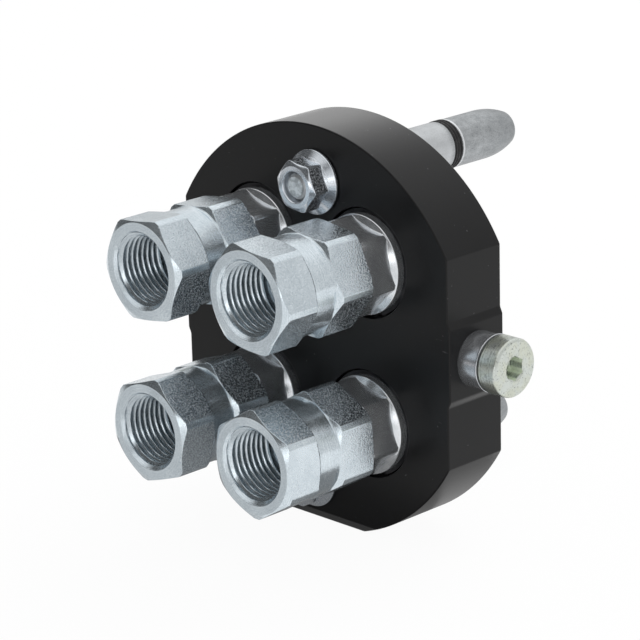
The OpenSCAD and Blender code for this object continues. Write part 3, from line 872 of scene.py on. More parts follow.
for line in LINES:
    turn = ADAPTER_TURNS[line]
    adapter = turned("adapter_" + line, ADAPTER_OUTLINE,
                     hexagon_angles(turn, ADAPTER_FLATS, ADAPTER_CORNER_R))
    mill(adapter, ADAPTER_FLATS, turn, PORT_Y, port_hex_y, ZINC, end_edge=ADAPTER_END_EDGE)
    mill(adapter, ADAPTER_FLATS, turn, neck_y, ADAPTER_Y, ZINC, end_edge=ADAPTER_END_EDGE,
         open_low=False, open_high=True)
    use_tree(adapter, THREAD, crest_radius=CREST_R, depth=THREAD_DEPTH, pitch=THREAD_PITCH,
             start=PORT_Y + THREAD_START, end=thread_end_y, widest=MOUTH_R + THREAD_LEAD,
             material=ZINC)
    finish(adapter, ZINC, ["port_adapter_" + line], at_line(line))
    print(adapter.name, len(adapter.data.polygons), "faces")

# %% [markdown]
# ## Coupler bodies
# The body runs through the plate: a polished hexagon and a round collar in front, a snap-ring
# groove in the recess, a flange let into the back and the nose that enters the other half.
# A cone rises from the flats to the collar, and its bright crescents ring every body.

# %% Coupler bodies
BODY_FLATS, BODY_TURN, BODY_CORNER_R, SHANK_R = 24.0, 43.5, 13.45, 13.8
COLLAR_L, FLANGE_R, FLANGE_L, NOSE_R = 1.6, 15.3, 3.0, 12.25
SEAT_R, SEAT_L, CHAMBER_R, GUIDE_R, GUIDE_SEAT_L = 7.0, 5.0, 9.0, 9.75, 3.8
RECESS_L, SNAP_L, SNAP_DEPTH = 2.4, 1.5, 0.8
TAIL_R, TAIL_CHAMFER, NOSE_CHAMFER, BODY_CHAMFER, SNAP_PLAY = 11.0, 0.8, 1, 0.8, 0.1
guide_seat_y = TAIL_Y + GUIDE_SEAT_L
body_hex_y = FRONT_Y - COLLAR_L
snap_y = FRONT_Y + RECESS_L
cone_l = (SHANK_R - BODY_FLATS / 2) * CHAMFER_SLOPE
collar_drop = (SHANK_R - BODY_CORNER_R) * CHAMFER_SLOPE

BODY_OUTLINE = [
    (GUIDE_R, TAIL_Y, 0.1),
    (TAIL_R - TAIL_CHAMFER, TAIL_Y, 0.1),
    (TAIL_R, TAIL_Y + TAIL_CHAMFER, 0.1),
    (TAIL_R, ADAPTER_Y),
    (BODY_CORNER_R - BODY_CHAMFER, ADAPTER_Y, 0.05),
    (BODY_CORNER_R, ADAPTER_Y + BODY_CHAMFER * CHAMFER_SLOPE, 0.1, 8),
    (BODY_CORNER_R, body_hex_y - cone_l, 0, 6),
    (BODY_CORNER_R, body_hex_y - collar_drop, 0.1, 12),
    (SHANK_R, body_hex_y, 0.35, 4),
    (SHANK_R, snap_y - SNAP_L - SNAP_PLAY),
    (SHANK_R - SNAP_DEPTH, snap_y - SNAP_L - SNAP_PLAY),
    (SHANK_R - SNAP_DEPTH, snap_y + SNAP_PLAY),
    (SHANK_R, snap_y + SNAP_PLAY),
    (SHANK_R, -FLANGE_L),
    (FLANGE_R, -FLANGE_L, 0.1),
    (FLANGE_R, 0, 0.4),
    (NOSE_R, 0, 0.2, 3),
    (NOSE_R, NOSE_Y - NOSE_CHAMFER, 0.3),
    (NOSE_R - NOSE_CHAMFER, NOSE_Y, 0.3),
    (SEAT_R, NOSE_Y, 0.2, 4),
    (SEAT_R, NOSE_Y - SEAT_L),
    (CHAMBER_R, NOSE_Y - SEAT_L),
    (CHAMBER_R, guide_seat_y),
    (GUIDE_R, guide_seat_y)]

for line in LINES:
    body = turned("body_" + line, BODY_OUTLINE,
                  hexagon_angles(BODY_TURN, BODY_FLATS, BODY_CORNER_R))
    mill(body, BODY_FLATS, BODY_TURN, ADAPTER_Y, body_hex_y, POLISHED, open_low=False,
         collar=SHANK_R, slope=1 / CHAMFER_SLOPE)
    finish(body, POLISHED, ["coupler_body_" + line], at_line(line))
    print(body.name, len(body.data.polygons), "faces")

# %% [markdown]
# ## Valves
# Each nose is shut by a flat-faced poppet. It is one turned outline: a stem, a collar for the
# spring, a shoulder that stops inside the nose, a groove for the seal and the face.

# %% Poppets
STEM_R, NECK_STEM_R, SPRING_COLLAR_R, SHOULDER_R, STEM_CHAMFER = 3.0, 4.2, 6.5, 7.8, 0.8
SHOULDER_L, NECK_STEM_L, SPRING_COLLAR_L, FACE_CHAMFER = 3, 18, 2.4, 0.6
PLAY, SEAL_SECTION_R, POPPET_COLUMNS = 0.05, 0.75, 96
POPPET_FACE_R = SEAT_R - PLAY
shoulder_high = NOSE_Y - SEAT_L - PLAY
shoulder_low = shoulder_high - SHOULDER_L
collar_high = shoulder_low - NECK_STEM_L
spring_high = collar_high - SPRING_COLLAR_L
seal_mid_y = NOSE_Y - SEAT_L / 2
seal_half = SEAL_SECTION_R + PLAY
groove_r = POPPET_FACE_R - 2 * SEAL_SECTION_R
poppet_low = low_high("poppet_upper_left")[0].y

POPPET_OUTLINE = [
    (0, poppet_low),
    (STEM_R - STEM_CHAMFER, poppet_low, 0.1, 2),
    (STEM_R, poppet_low + STEM_CHAMFER, 0.1),
    (STEM_R, spring_high),
    (SPRING_COLLAR_R, spring_high, 0.1),
    (SPRING_COLLAR_R, collar_high, 0.1),
    (NECK_STEM_R, collar_high),
    (NECK_STEM_R, shoulder_low),
    (SHOULDER_R, shoulder_low, 0.1),
    (SHOULDER_R, shoulder_high, 0.1),
    (POPPET_FACE_R, shoulder_high),
    (POPPET_FACE_R, seal_mid_y - seal_half),
    (groove_r, seal_mid_y - seal_half),
    (groove_r, seal_mid_y + seal_half),
    (POPPET_FACE_R, seal_mid_y + seal_half),
    (POPPET_FACE_R, NOSE_Y, 0.25),
    (POPPET_FACE_R - FACE_CHAMFER, NOSE_Y, 0, 2),
    (0, NOSE_Y, 0, 6)]

for line in LINES:
    poppet = turned("poppet_body_" + line, POPPET_OUTLINE, even(POPPET_COLUMNS),
                    closed=False)
    finish(poppet, POLISHED, ["poppet_" + line], at_line(line),
           "valve_" + line)
print("poppets:", len(LINES))

# %% [markdown]
# The spring that shuts a poppet is a helix. Curve nodes wind it: a spiral with as many rotations
# as the real spring, and a round wire swept along it. It can't follow the poppet as one stiff
# piece, so it rides on the plate.

# %% Springs
SPRING_R, WIRE_R, SPRING_TURNS, VALVE_TRAVEL = 5.7, 0.6, 6, 7.0
WIRE_STEPS, WIRE_SIDES = 28, 12
spring_box = low_high("poppet_spring_upper_left")
spring_low = spring_box[0].y
spring_l = spring_box[1].y - spring_low


def spring_tree():
    graph, inputs = new_tree("Spring", ["Radius", "Wire Radius", "Length", "Turns"])
    path = graph.add("GeometryNodeCurveSpiral", {
        "Resolution": WIRE_STEPS, "Rotations": inputs["Turns"], "Start Radius": inputs["Radius"],
        "End Radius": inputs["Radius"], "Height": inputs["Length"]})
    wire = graph.add("GeometryNodeCurvePrimitiveCircle", {
        "Resolution": WIRE_SIDES, "Radius": inputs["Wire Radius"]})
    coil = graph.add("GeometryNodeCurveToMesh", {
        "Curve": path, "Profile Curve": wire, "Fill Caps": True})
    return close_tree(graph, inputs, graph.add("GeometryNodeSetShadeSmooth", {0: coil}))


SPRING_TREE = spring_tree()

for line in LINES:
    name = "spring_" + line
    spring = placed(name, bpy.data.meshes.new(name))
    use_tree(spring, SPRING_TREE, radius=SPRING_R, wire_radius=WIRE_R,
             length=spring_l - 2 * WIRE_R, turns=SPRING_TURNS, material=SPRING)
    lift = Matrix.Translation((0, spring_low + WIRE_R, 0))
    place = at_line(line) @ lift @ Matrix.Rotation(-math.pi / 2, 4, "X")
    finish(spring, SPRING, ["poppet_spring_" + line], place)
    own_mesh(spring)

# %% [markdown]
# ## Snap rings
# A snap ring holds each body in the plate. It is an open arc of flat wire in the dark recess,
# and only a few glints of it show. One tree sweeps the arc and puts a copy at each axis.

# %% Snap rings
SNAP_R_IN, SNAP_R_OUT, SNAP_OPEN = 13.05, 14.8, 40.0
SNAP_STEPS, SNAP_EDGE, SNAP_GAP = 96, 0.15, 0.02


def copies_at_points(graph, inputs, shape):
    """Ends a tree with a copy of the shape at each point of the piece."""
    copies = graph.add("GeometryNodeInstanceOnPoints", {
        "Points": inputs["Geometry"], "Instance": shape})
    return close_tree(graph, inputs, copies)


def ring_tree():
    graph, inputs = new_tree("Snap rings", [
        "Inner Radius", "Outer Radius", "Thickness", "Opening"])
    arc = graph.add("GeometryNodeCurveArc", {
        "Resolution": SNAP_STEPS,
        "Radius": (inputs["Inner Radius"] + inputs["Outer Radius"]) * 0.5,
        "Start Angle": inputs["Opening"] * 0.5 - math.pi / 2,
        "Sweep Angle": 2 * math.pi - inputs["Opening"]})
    section = graph.add("GeometryNodeCurvePrimitiveQuadrilateral", {
        "Width": inputs["Outer Radius"] - inputs["Inner Radius"], "Height": inputs["Thickness"]})
    section = graph.add("GeometryNodeFilletCurve", {"Curve": section, "Radius": SNAP_EDGE})
    ring = graph.add("GeometryNodeCurveToMesh", {
        "Curve": arc, "Profile Curve": section, "Fill Caps": True})
    upright = graph.add("GeometryNodeTransform", {
        "Geometry": ring, "Rotation": (math.pi / 2, 0, 0)})
    return copies_at_points(graph, inputs, upright)


def points_piece(name, places):
    """A piece that is only points, for a tree that puts copies there."""
    mesh = bpy.data.meshes.new(name)
    mesh.from_pydata(places, [], [])
    return placed(name, mesh)


axes = [middle("coupler_body_" + line) for line in LINES]
rings = points_piece("snap_rings", [(a.x, snap_y - SNAP_L / 2, a.z) for a in axes])
# The rings' near-black steel is partly painted shade of the recess.
use_tree(rings, ring_tree(), inner_radius=SNAP_R_IN, outer_radius=SNAP_R_OUT,
         thickness=SNAP_L - SNAP_GAP, opening=math.radians(SNAP_OPEN), material=SPRING)
finish(rings, SPRING, ["retaining_ring_" + line for line in LINES])
print("snap rings:", len(rings.data.polygons), "faces")

# %% [markdown]
# ## Guide pins
# The pins are turned and plated. Their noses are one arc that leaves the side smoothly, and a
# rubber ring sits in a groove half way along. The other end is a stud that goes through the
# plate, and the ridges of its last turns show in the mouth of the nut.

# %% Guide pins
PIN_R, PIN_L, NOSE_L_PIN, NOSE_END_R, PIN_SEAT = 6.95, 54.5, 10.5, 4.8, 4.0
GROOVE_Y, GROOVE_L, GROOVE_DEPTH = 27.2, 3.3, 1.6
STUD_R, STUD_CHAMFER, NUT_H, STUD_SHORT = 4.0, 1.3, 8.0, 0.4
NOSE_ROWS, NOSE_EASE, ROUND_COLUMNS = 18, 0.5, 128
stud_y = FRONT_Y - NUT_H + STUD_SHORT


def bullet():
    """The arc of the nose, from the pin's side to its end face."""
    drop = PIN_R - NOSE_END_R
    arc_r = (NOSE_L_PIN ** 2 + drop ** 2) / (2 * drop)
    sweep = math.asin(NOSE_L_PIN / arc_r)
    points = []
    for step in range(1, NOSE_ROWS + 1):
        angle = sweep * step / NOSE_ROWS
        points.append((PIN_R - arc_r * (1 - math.cos(angle)),
                       PIN_L - NOSE_L_PIN + arc_r * math.sin(angle)))
    points[-1] += (NOSE_EASE,)
    return points


STUD_RIDGES = [
    (min(STUD_R, STUD_R - STUD_CHAMFER + rise) - depth, stud_y + rise, 0.06)
    for rise, depth in ((0.15, 0.0), (0.4, 0.5), (0.8, 0.0), (1.15, 0.6), (1.6, 0.0),
                        (2.1, 0.6), (2.6, 0.0))]
PIN_OUTLINE = [
    (0, stud_y),
    (STUD_R - STUD_CHAMFER, stud_y, 0.15, 3),
    *STUD_RIDGES,
    (STUD_R, -PIN_SEAT),
    (PIN_R, -PIN_SEAT, 0.1),
    (PIN_R, GROOVE_Y, 0.35, 4),
    (PIN_R - GROOVE_DEPTH, GROOVE_Y),
    (PIN_R - GROOVE_DEPTH, GROOVE_Y + GROOVE_L),
    (PIN_R, GROOVE_Y + GROOVE_L, 0.35),
    (PIN_R, PIN_L - NOSE_L_PIN, 0, 3),
    *bullet(),
    (0, PIN_L, 0, 5)]
BAND_R, BAND_GAP, LIP_DEPTH, LIPS = PIN_R + 0.15, 0.05, 0.35, 3
BAND_INNER_R = PIN_R - GROOVE_DEPTH + BAND_GAP


def band_outline():
    """Three soft ridges, as the lips of a wiper ring have."""
    low, high = GROOVE_Y + BAND_GAP, GROOVE_Y + GROOVE_L - BAND_GAP
    lip_l = (high - low) / LIPS
    points = [(BAND_INNER_R, low), (BAND_R - LIP_DEPTH, low, 0.1)]
    for lip in range(LIPS):
        start = low + lip * lip_l
        points += [(BAND_R, start + 0.35 * lip_l, 0.2), (BAND_R, start + 0.65 * lip_l, 0.2),
                   (BAND_R - LIP_DEPTH, start + lip_l, 0.1)]
    return [*points, (BAND_INNER_R, high)]


for where in ("upper", "lower"):
    node = "guide_pin_" + where
    pin = turned("pin_" + where, PIN_OUTLINE, even(ROUND_COLUMNS), closed=False)
    finish(pin, DULL, [node], at_node(node))
    band = turned("pin_band_" + where, band_outline(), even(ROUND_COLUMNS))
    finish(band, RUBBER, ["guide_pin_ring_" + where], at_node(node))
print("guide pins reach", PIN_L, "behind the mating face")

# %% [markdown]
# ## Flange nuts
# A flange nut is turned with a broad cone at its top and a skirt at its foot, and milled across
# the flats. Both nuts are alike, so one is made and a tree puts it at each stud.

# %% Flange nuts
NUT_FLATS, NUT_CORNER_R, NUT_FACE_R, NUT_TURN = 13.0, 7.3, 5.7, 52.0
NUT_FLANGE_R, NUT_FLANGE_T, NUT_SKIRT = 8.95, 1.0, 2.8
NUT_BORE_R, NUT_MOUTH, NUT_BEVEL, NUT_EDGE, NUT_END_EDGE = 4.05, 0.45, 0.4, 0.3, 0.6
nut_top = FRONT_Y - NUT_H
nut_drop = (NUT_CORNER_R - NUT_FACE_R) * CHAMFER_SLOPE
skirt_y = FRONT_Y - NUT_SKIRT
skirt_slope = (NUT_FLANGE_R - NUT_FLATS / 2) / (NUT_SKIRT - NUT_FLANGE_T)
corner_skirt_y = FRONT_Y - NUT_FLANGE_T - (NUT_FLANGE_R - NUT_CORNER_R) / skirt_slope

NUT_OUTLINE = [
    (NUT_BORE_R + NUT_MOUTH, nut_top, 0.1),
    (NUT_FACE_R, nut_top, 0.1, 2),
    (NUT_CORNER_R, nut_top + nut_drop, 0.1, 12),
    (NUT_CORNER_R, skirt_y, 0, 4),
    (NUT_CORNER_R, corner_skirt_y, 0, 12),
    (NUT_FLANGE_R, FRONT_Y - NUT_FLANGE_T, 0.15, 4),
    (NUT_FLANGE_R, FRONT_Y - NUT_BEVEL, 0.15),
    (NUT_FLANGE_R - NUT_BEVEL, FRONT_Y, 0.1),
    (NUT_BORE_R, FRONT_Y),
    (NUT_BORE_R, nut_top + NUT_MOUTH)]
nut = turned("nut", NUT_OUTLINE, hexagon_angles(NUT_TURN, NUT_FLATS, NUT_CORNER_R))
mill(nut, NUT_FLATS, NUT_TURN, nut_top, corner_skirt_y, NUT_ZINC, edge=NUT_EDGE,
     end_edge=NUT_END_EDGE, open_low=False, collar=NUT_CORNER_R, slope=skirt_slope)
baked(nut)


def copies_tree():
    graph, inputs = new_tree("Copies", ["Object"])
    shape = graph.add("GeometryNodeObjectInfo", {0: inputs["Object"]}, out="Geometry")
    return copies_at_points(graph, inputs, shape)


pin_axes = [middle("guide_pin_" + where) for where in ("upper", "lower")]
nuts = points_piece("nuts", [(a.x, 0, a.z) for a in pin_axes])
use_tree(nuts, copies_tree(), object=nut, material=NUT_ZINC)
finish(nuts, NUT_ZINC, ["flange_nuts"])
bpy.data.objects.remove(nut)
print("nuts:", len(nuts.data.polygons), "faces")

# %% [markdown]
# ## Side pins and rollers
# The lever of the other half pulls on these. A shoulder screw carries each roller. Its head has
# a broached hexagon socket, drilled first to the width across flats. The outer end of a roller
# has a narrow raised lip.

# %% Side pins and rollers
HEAD_R, HEAD_L, SOCKET_FLATS, SOCKET_L, SOCKET_EDGE = 8.0, 6.0, 6.0, 4.5, 0.04
SHOULDER_L_SIDE, SHOULDER_R_SIDE, SCREW_L = 8.0, 5.0, 14.0
SCREW_CHAMFER, HEAD_CHAMFER, PAD_DEPTH, SINK_WIDE, SINK_DEEP = 0.8, 0.6, 0.5, 0.62, 0.42
DRILL_PLAY, DRILL_STEP, DRILL_POINT, SOCKET_TURN, SOCKET_LOW = 0.01, 0.5, 0.6, 90.0, 0.001
HEAD_X = plate_high.x - PAD_DEPTH + SHOULDER_L_SIDE
END_X = HEAD_X + HEAD_L
ROLLER_LOW, ROLLER_HIGH = (side.x for side in low_high("side_roller_right"))
ROLLER_R, ROLLER_BORE_R, LIP_R, LIP_L, LIP_BEVEL = 7.6, 5.05, 8.0, 0.7, 0.2
MOUTH_BEVEL_R, MOUTH_BEVEL_L, SCREW_COLUMNS = 0.8, 0.5, 240
shoulder_x = HEAD_X - SHOULDER_L_SIDE
screw_x = shoulder_x - SCREW_L
socket_r = SOCKET_FLATS / 2

SCREW_OUTLINE = [
    (0, screw_x),
    (STUD_R - SCREW_CHAMFER, screw_x, 0.1, 2),
    (STUD_R, screw_x + SCREW_CHAMFER, 0.1),
    (STUD_R, shoulder_x),
    (SHOULDER_R_SIDE, shoulder_x, 0.1),
    (SHOULDER_R_SIDE, HEAD_X),
    (HEAD_R, HEAD_X, 0.3),
    (HEAD_R, END_X - HEAD_CHAMFER, 0.35, 2),
    (HEAD_R - HEAD_CHAMFER, END_X, 0.35, 2),
    (socket_r + SINK_WIDE, END_X, 0.05, 4),
    (socket_r + DRILL_PLAY, END_X - SINK_DEEP, 0.0, 8),
    (socket_r + DRILL_PLAY, END_X - SOCKET_L, 0.0, 6),
    (socket_r - DRILL_STEP, END_X - SOCKET_L),
    (0, END_X - SOCKET_L - DRILL_POINT, 0.0, 3)]
ROLLER_OUTLINE = [
    (ROLLER_BORE_R, ROLLER_LOW, 0.1),
    (ROLLER_R, ROLLER_LOW, 0.5, 2),
    (ROLLER_R, ROLLER_HIGH - LIP_L, 0.2, 6),
    (LIP_R, ROLLER_HIGH - LIP_L + LIP_BEVEL, 0.15),
    (LIP_R, ROLLER_HIGH, 0.45, 2),
    (ROLLER_BORE_R + MOUTH_BEVEL_R, ROLLER_HIGH, 0.1, 2),
    (ROLLER_BORE_R, ROLLER_HIGH - MOUTH_BEVEL_L, 0.1, 2)]
for side, sign in (("right", 1), ("left", -1)):
    screw = turned("side_screw_" + side, SCREW_OUTLINE, even(SCREW_COLUMNS), closed=False)
    mill(screw, SOCKET_FLATS, SOCKET_TURN, END_X - SOCKET_L, END_X - SOCKET_LOW, PASSIVATED,
         edge=SOCKET_EDGE, end_edge=SOCKET_EDGE, open_low=False, inside=True)
    finish(screw, PASSIVATED, ["side_pin_" + side], at_side(sign))
    roller = turned("roller_body_" + side, ROLLER_OUTLINE, even(ROUND_COLUMNS))
    finish(roller, DARK, ["side_roller_" + side], at_side(sign),
           "roller_" + side)
print("head ends at", round(END_X, 2))

# %% [markdown]
# ## The plate
# The plate isn't round, so it is built from its outline instead: arcs of one circle, two side
# flats with raised pads for the roller screws, and a flat to stand on. The outline is drawn once
# and repeated with small insets for the eased edges. Bores are rings of points that go down
# through the plate in steps, and the faces between outline and bores are filled with triangles.

# %% Outline of the plate
PAD_RISE, PAD_HALF, PAD_RAMP, PAD_STEPS = 0.8, 9.6, 2.4, 8
PAD_X, FLAT_X, FOOT_Z = plate_high.x, plate_high.x - PAD_RISE, plate_low.z
CORNER_EASE = 0.35
ARC_STEP = math.radians(1.0)


def arc(start, end):
    """Points of the round edge between two angles."""
    steps = max(2, round(abs(end - start) / ARC_STEP))
    return [(PLATE_R * math.cos(start + (end - start) * i / steps),
             PLATE_R * math.sin(start + (end - start) * i / steps))
            for i in range(1, steps)]


def ramp_points(sign):
    """The smooth rise of the right pad, from the flat to the pad's top."""
    rise = PAD_X - FLAT_X
    shares = [step / PAD_STEPS for step in range(PAD_STEPS + 1)]
    return [(FLAT_X + rise * (1 - math.cos(math.pi * share)) / 2,
             sign * (PAD_HALF + PAD_RAMP * (1 - share))) for share in shares]


flat_angle = math.acos(FLAT_X / PLATE_R)
foot_angle = math.asin(FOOT_Z / PLATE_R)
flat_z = PLATE_R * math.sin(flat_angle)
foot_x = PLATE_R * math.cos(foot_angle)
right_side = [
    (FLAT_X, -flat_z, CORNER_EASE), *ramp_points(-1), *reversed(ramp_points(1)),
    (FLAT_X, flat_z, CORNER_EASE)]
left_side = [(-corner[0], -corner[1], *corner[2:]) for corner in right_side]
PLATE_CORNERS = [
    *right_side, *arc(flat_angle, math.pi - flat_angle),
    *left_side,
    *arc(math.pi + flat_angle, math.pi - foot_angle),
    (-foot_x, FOOT_Z, CORNER_EASE), (foot_x, FOOT_Z, CORNER_EASE),
    *arc(foot_angle, -flat_angle)]
print("plate outline corners:", len(PLATE_CORNERS))

# %% [markdown]
# Rows of (distance, place) describe the rim and each bore alike, from the front face to the
# mating face. At the rim the distance is how far the outline has moved inwards, and in a bore it
# is the radius. Both ends of a wall are quarter rounds, and one more row holds the face flat.

# %% Walls of the plate
EDGE, HOLE_EDGE, HOLD, QUARTER_STEPS, BORE_COLUMNS, LEAST_SPREAD = 0.4, 0.2, 0.3, 4, 144, 0.5
BORE_R, RECESS_R, FLANGE_BORE_R = SHANK_R + PLAY, 15.2, FLANGE_R + PLAY
PIN_BORE_R, STUD_BORE_R = PIN_R + PLAY, STUD_R + PLAY


def rows_through(front, back, edge, *steps):
    """The rows of a wall through the plate, with a quarter round at both ends."""
    angles = [math.pi / 2 * i / QUARTER_STEPS for i in range(QUARTER_STEPS + 1)]
    quarter = [(edge * (1 - math.sin(a)), edge * (1 - math.cos(a))) for a in angles]
    return [
        (front + edge + HOLD, FRONT_Y),
        *[(front + out, FRONT_Y + down) for out, down in quarter],
        *steps,
        *[(back + out, -down) for out, down in reversed(quarter)],
        (back + edge + HOLD, 0.0)]


def inset(points, depth):
    """A closed outline moved inwards."""
    moved = []
    count = len(points)
    for i, here in enumerate(points):
        before = (here - points[i - 1]).normalized()
        after = (points[(i + 1) % count] - here).normalized()
        direction = (before + after).normalized()
        normal = Vector((-direction.y, direction.x))
        spread = max(LEAST_SPREAD, direction.dot(after))
        moved.append(here + normal * depth / spread)
    return moved


def circle(centre, radius):
    middle_point = Vector((centre.x, centre.z))
    return [middle_point + Vector((radius * math.cos(a), radius * math.sin(a)))
            for a in even(BORE_COLUMNS)]


def add_wall(bm, loops):
    """Joins (outline, place) loops into a wall and returns the edges of its two ends."""
    rings = [[bm.verts.new((p.x, y, p.y)) for p in loop] for loop, y in loops]
    count = len(rings[0])
    for low, high in zip(rings, rings[1:]):
        for i in range(count):
            after = (i + 1) % count
            bm.faces.new([low[i], low[after], high[after], high[i]])
    return [[bm.edges.get((ring[i - 1], ring[i])) for i in range(count)]
            for ring in (rings[0], rings[-1])]


print("rows of the rim:", len(rows_through(0, 0, EDGE)))

# %% [markdown]
# The plate is the wall of the rim, six walls of stepped bores, and two faces that fill what lies
# between them.

# %% Build the plate
rim = eased(PLATE_CORNERS)
coupler_rows = rows_through(
    RECESS_R, FLANGE_BORE_R, HOLE_EDGE,
    (RECESS_R, FRONT_Y + RECESS_L), (BORE_R, FRONT_Y + RECESS_L),
    (BORE_R, -FLANGE_L), (FLANGE_BORE_R, -FLANGE_L))
pin_rows = rows_through(
    STUD_BORE_R, PIN_BORE_R, HOLE_EDGE, (STUD_BORE_R, -PIN_SEAT), (PIN_BORE_R, -PIN_SEAT))
walls = [[(inset(rim, distance), y) for distance, y in rows_through(0, 0, EDGE)]]
for centres, rows in ((axes, coupler_rows), (pin_axes, pin_rows)):
    walls += [[(circle(centre, radius), y) for radius, y in rows] for centre in centres]

bm = bmesh.new()
ends = [add_wall(bm, wall) for wall in walls]
for face_edges in zip(*ends):
    bmesh.ops.triangle_fill(bm, edges=sum(face_edges, []), use_beauty=True)
plate = smooth_piece(bm, "plate_body")
finish(plate, BLACK, ["plate"])
print("plate faces:", len(plate.data.polygons))

# %% [markdown]
# ## Solids that stay
# The seals and the valve guides are seen only deep in a port or not at all. Their solids have
# the right shape, so they stay and only get their finish.

# %% Dress the solids that stay
KEPT = {"poppet_seal_": RUBBER, "adapter_seal_": RUBBER, "valve_guide_": DULL}
for prefix, material in KEPT.items():
    for line in LINES:
        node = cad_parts[prefix + line]
        node.data.materials.clear()
        node.data.materials.append(material)
print("solids kept:", len(KEPT) * len(LINES))

# %% [markdown]
# ## Floor
# The photograph was taken in a white tent. The floor is white for the camera and for
# reflections, and keeps a soft shadow below the foot: a small share of it is plain lit paper.
# Far from the object, reflections see a darker floor.

# %% Floor
FLOOR_HALF, FLOOR_GAP, SHADOW_SHARE = 6.0, 0.0001, 0.955
FAR_FLOOR, FAR_LOSS = (0.7, 1.8), 0.4
WHITE, BLACK_PAPER, LIT_PAPER = (1.0, 1.0, 1.0, 1.0), (0, 0, 0, 1), (0.86, 0.86, 0.86, 1)
floor_z = FOOT_Z * MM - FLOOR_GAP


def lay_flat(name, low, high, z, material):
    """A flat rectangle that belongs to the stage."""
    mesh = bpy.data.meshes.new(name)
    corners = (low, (high[0], low[1]), high, (low[0], high[1]))
    mesh.from_pydata([(x, y, z) for x, y in corners], [], [(0, 1, 2, 3)])
    mesh.materials.append(material)
    laid = placed(name, mesh)
    return laid


def white_floor():
    material = bpy.data.materials.new("white_floor")
    material.use_nodes = True
    graph = Graph(material.node_tree)
    nodes = graph.tree.nodes
    nodes.remove(nodes["Principled BSDF"])
    camera_ray, glossy_ray, glass_ray = (graph.add("ShaderNodeLightPath", out=name) for name in (
        "Is Camera Ray", "Is Glossy Ray", "Is Transmission Ray"))
    seen = (camera_ray + glossy_ray + glass_ray).at_most(1.0)
    paper = graph.add("ShaderNodeBsdfDiffuse", {"Color": LIT_PAPER})
    place = graph.add("ShaderNodeTexCoord", out="Object")
    reach = graph.add("ShaderNodeVectorMath", {0: place}, out="Value", operation="LENGTH")
    distant = glossy_ray * reach.ramp(*FAR_FLOOR)
    white = graph.mix(distant * FAR_LOSS, WHITE, BLACK_PAPER)
    glow = graph.add("ShaderNodeEmission", {"Color": white, "Strength": 1.0})
    shown = graph.add("ShaderNodeMixShader", {0: seen * SHADOW_SHARE, 1: paper, 2: glow})
    graph.feed(nodes["Material Output"].inputs["Surface"], shown)
    return material


lay_flat("floor", (-FLOOR_HALF, -FLOOR_HALF), (FLOOR_HALF, FLOOR_HALF), floor_z, white_floor())
print("floor at", round(floor_z, 5))

# %% [markdown]
# ## The tent
# The tent is white behind the object, above it and to the east, and dark in front of the ports,
# where it was open. The bright metal shows exactly that, so the world is a slow change of grey
# with soft borders: one light level, a dark front, and some loss low in the west and in the east.

# %% World
BACK_LIGHT, FRONT_LIGHT, WEST_LOSS, EAST_LOSS, TILT = 0.98, 0.045, 0.42, 0.25, 0.15
BEHIND, OVERHEAD, BESIDE = (-0.12, 0.45), (0.46, 0.70), (0.08, 0.45)
TO_WEST, TO_EAST, UPWARDS = (0.0, -0.6), (0.0, 0.6), (0.0, 0.5)
world = bpy.data.worlds.new("white_tent")
bpy.context.scene.world = world
world.use_nodes = True
sky = Graph(world.node_tree)
east, north, above = sky.split(sky.add("ShaderNodeTexCoord", out="Generated"))
behind = (north + above * TILT).ramp(*BEHIND)
overhead = (above + east * TILT).ramp(*OVERHEAD)
white = behind.at_least(overhead).at_least(east.ramp(*BESIDE))
low_west = east.ramp(*TO_WEST) * (1 - above.ramp(*UPWARDS))
tent = BACK_LIGHT - low_west * WEST_LOSS - east.ramp(*TO_EAST) * EAST_LOSS
level = FRONT_LIGHT + white * (tent - FRONT_LIGHT)
background = world.node_tree.nodes["Background"]
sky.feed(background.inputs["Color"], sky.mix(level, BLACK_PAPER, WHITE))
background.inputs["Strength"].default_value = 1.0
print("tent from", FRONT_LIGHT, "to", BACK_LIGHT)

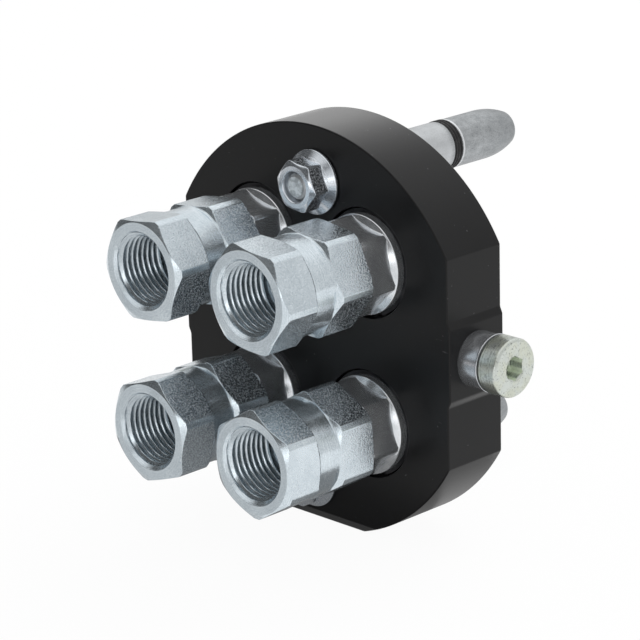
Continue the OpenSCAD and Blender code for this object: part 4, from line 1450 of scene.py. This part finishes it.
# %% [markdown]
# ## Lamps
# Two soft boxes help the tent. The upper one gives the floor its shadow and is left out of
# reflections. The low one in front is a broad strip that lights the port faces.

# %% Lamps


def softbox(name, place, wide, high, power):
    """A lamp that looks at the object."""
    lamp = placed(name, bpy.data.lights.new(name, "AREA"))
    lamp.data.shape = "RECTANGLE"
    lamp.data.size, lamp.data.size_y = wide, high
    lamp.data.energy = power
    lamp.location = place
    lamp.rotation_mode = "QUATERNION"
    lamp.rotation_quaternion = (-lamp.location).to_track_quat("-Z", "Y")
    return lamp


top_box = softbox("top_box", (-0.15, 0.75, 0.9), 1.0, 1.0, 8)
top_box.visible_glossy = False
front_box = softbox("front_box", (0.3, -1.6, 0.08), 0.9, 0.35, 1.5)
print("lamps:", top_box.name, front_box.name)

# %% [markdown]
# ## Cards
# A photographer lays grey cards beside bright metal to give it something dark to show. Three of
# them lie on the floor, and only reflections see them: a large one in front and to the west, a
# dark one under the adapters and the plate, and a middle grey one just behind the plate. The dark
# and the middle one are a painted shadow: they stand for the object's shadow on the floor, which
# the glowing floor shows only faintly in reflections.

# %% Cards
CARD_GAP, FAR_END, WEST_END, EAST_END = 0.002, -1.3, -0.09, 0.06
FRONT_EDGE_Y, MIDDLE_EDGE_Y, BACK_EDGE_Y, GREY_EDGE_X = -0.05, -0.002, 0.022, 0.012
CARDS = {
    "grey_card": ((FAR_END, FAR_END), (GREY_EDGE_X, FRONT_EDGE_Y), 0.62),
    # The next two are painted shadow: the object's shadow on the floor, as reflections see it.
    "dark_card": ((WEST_END, FRONT_EDGE_Y), (EAST_END, MIDDLE_EDGE_Y), 0.2),
    "middle_card": ((WEST_END, MIDDLE_EDGE_Y), (EAST_END, BACK_EDGE_Y), 0.42)}

for name, (low, high, level) in CARDS.items():
    grey = Finish(name, Base_Color=BLACK_PAPER, Specular_IOR_Level=0.0, Emission_Color=WHITE,
                  Emission_Strength=level)
    card = lay_flat(name, low, high, floor_z + CARD_GAP, grey.material)
    for sort in ("camera", "diffuse", "shadow", "transmission"):
        setattr(card, "visible_" + sort, False)
print("cards:", len(CARDS))
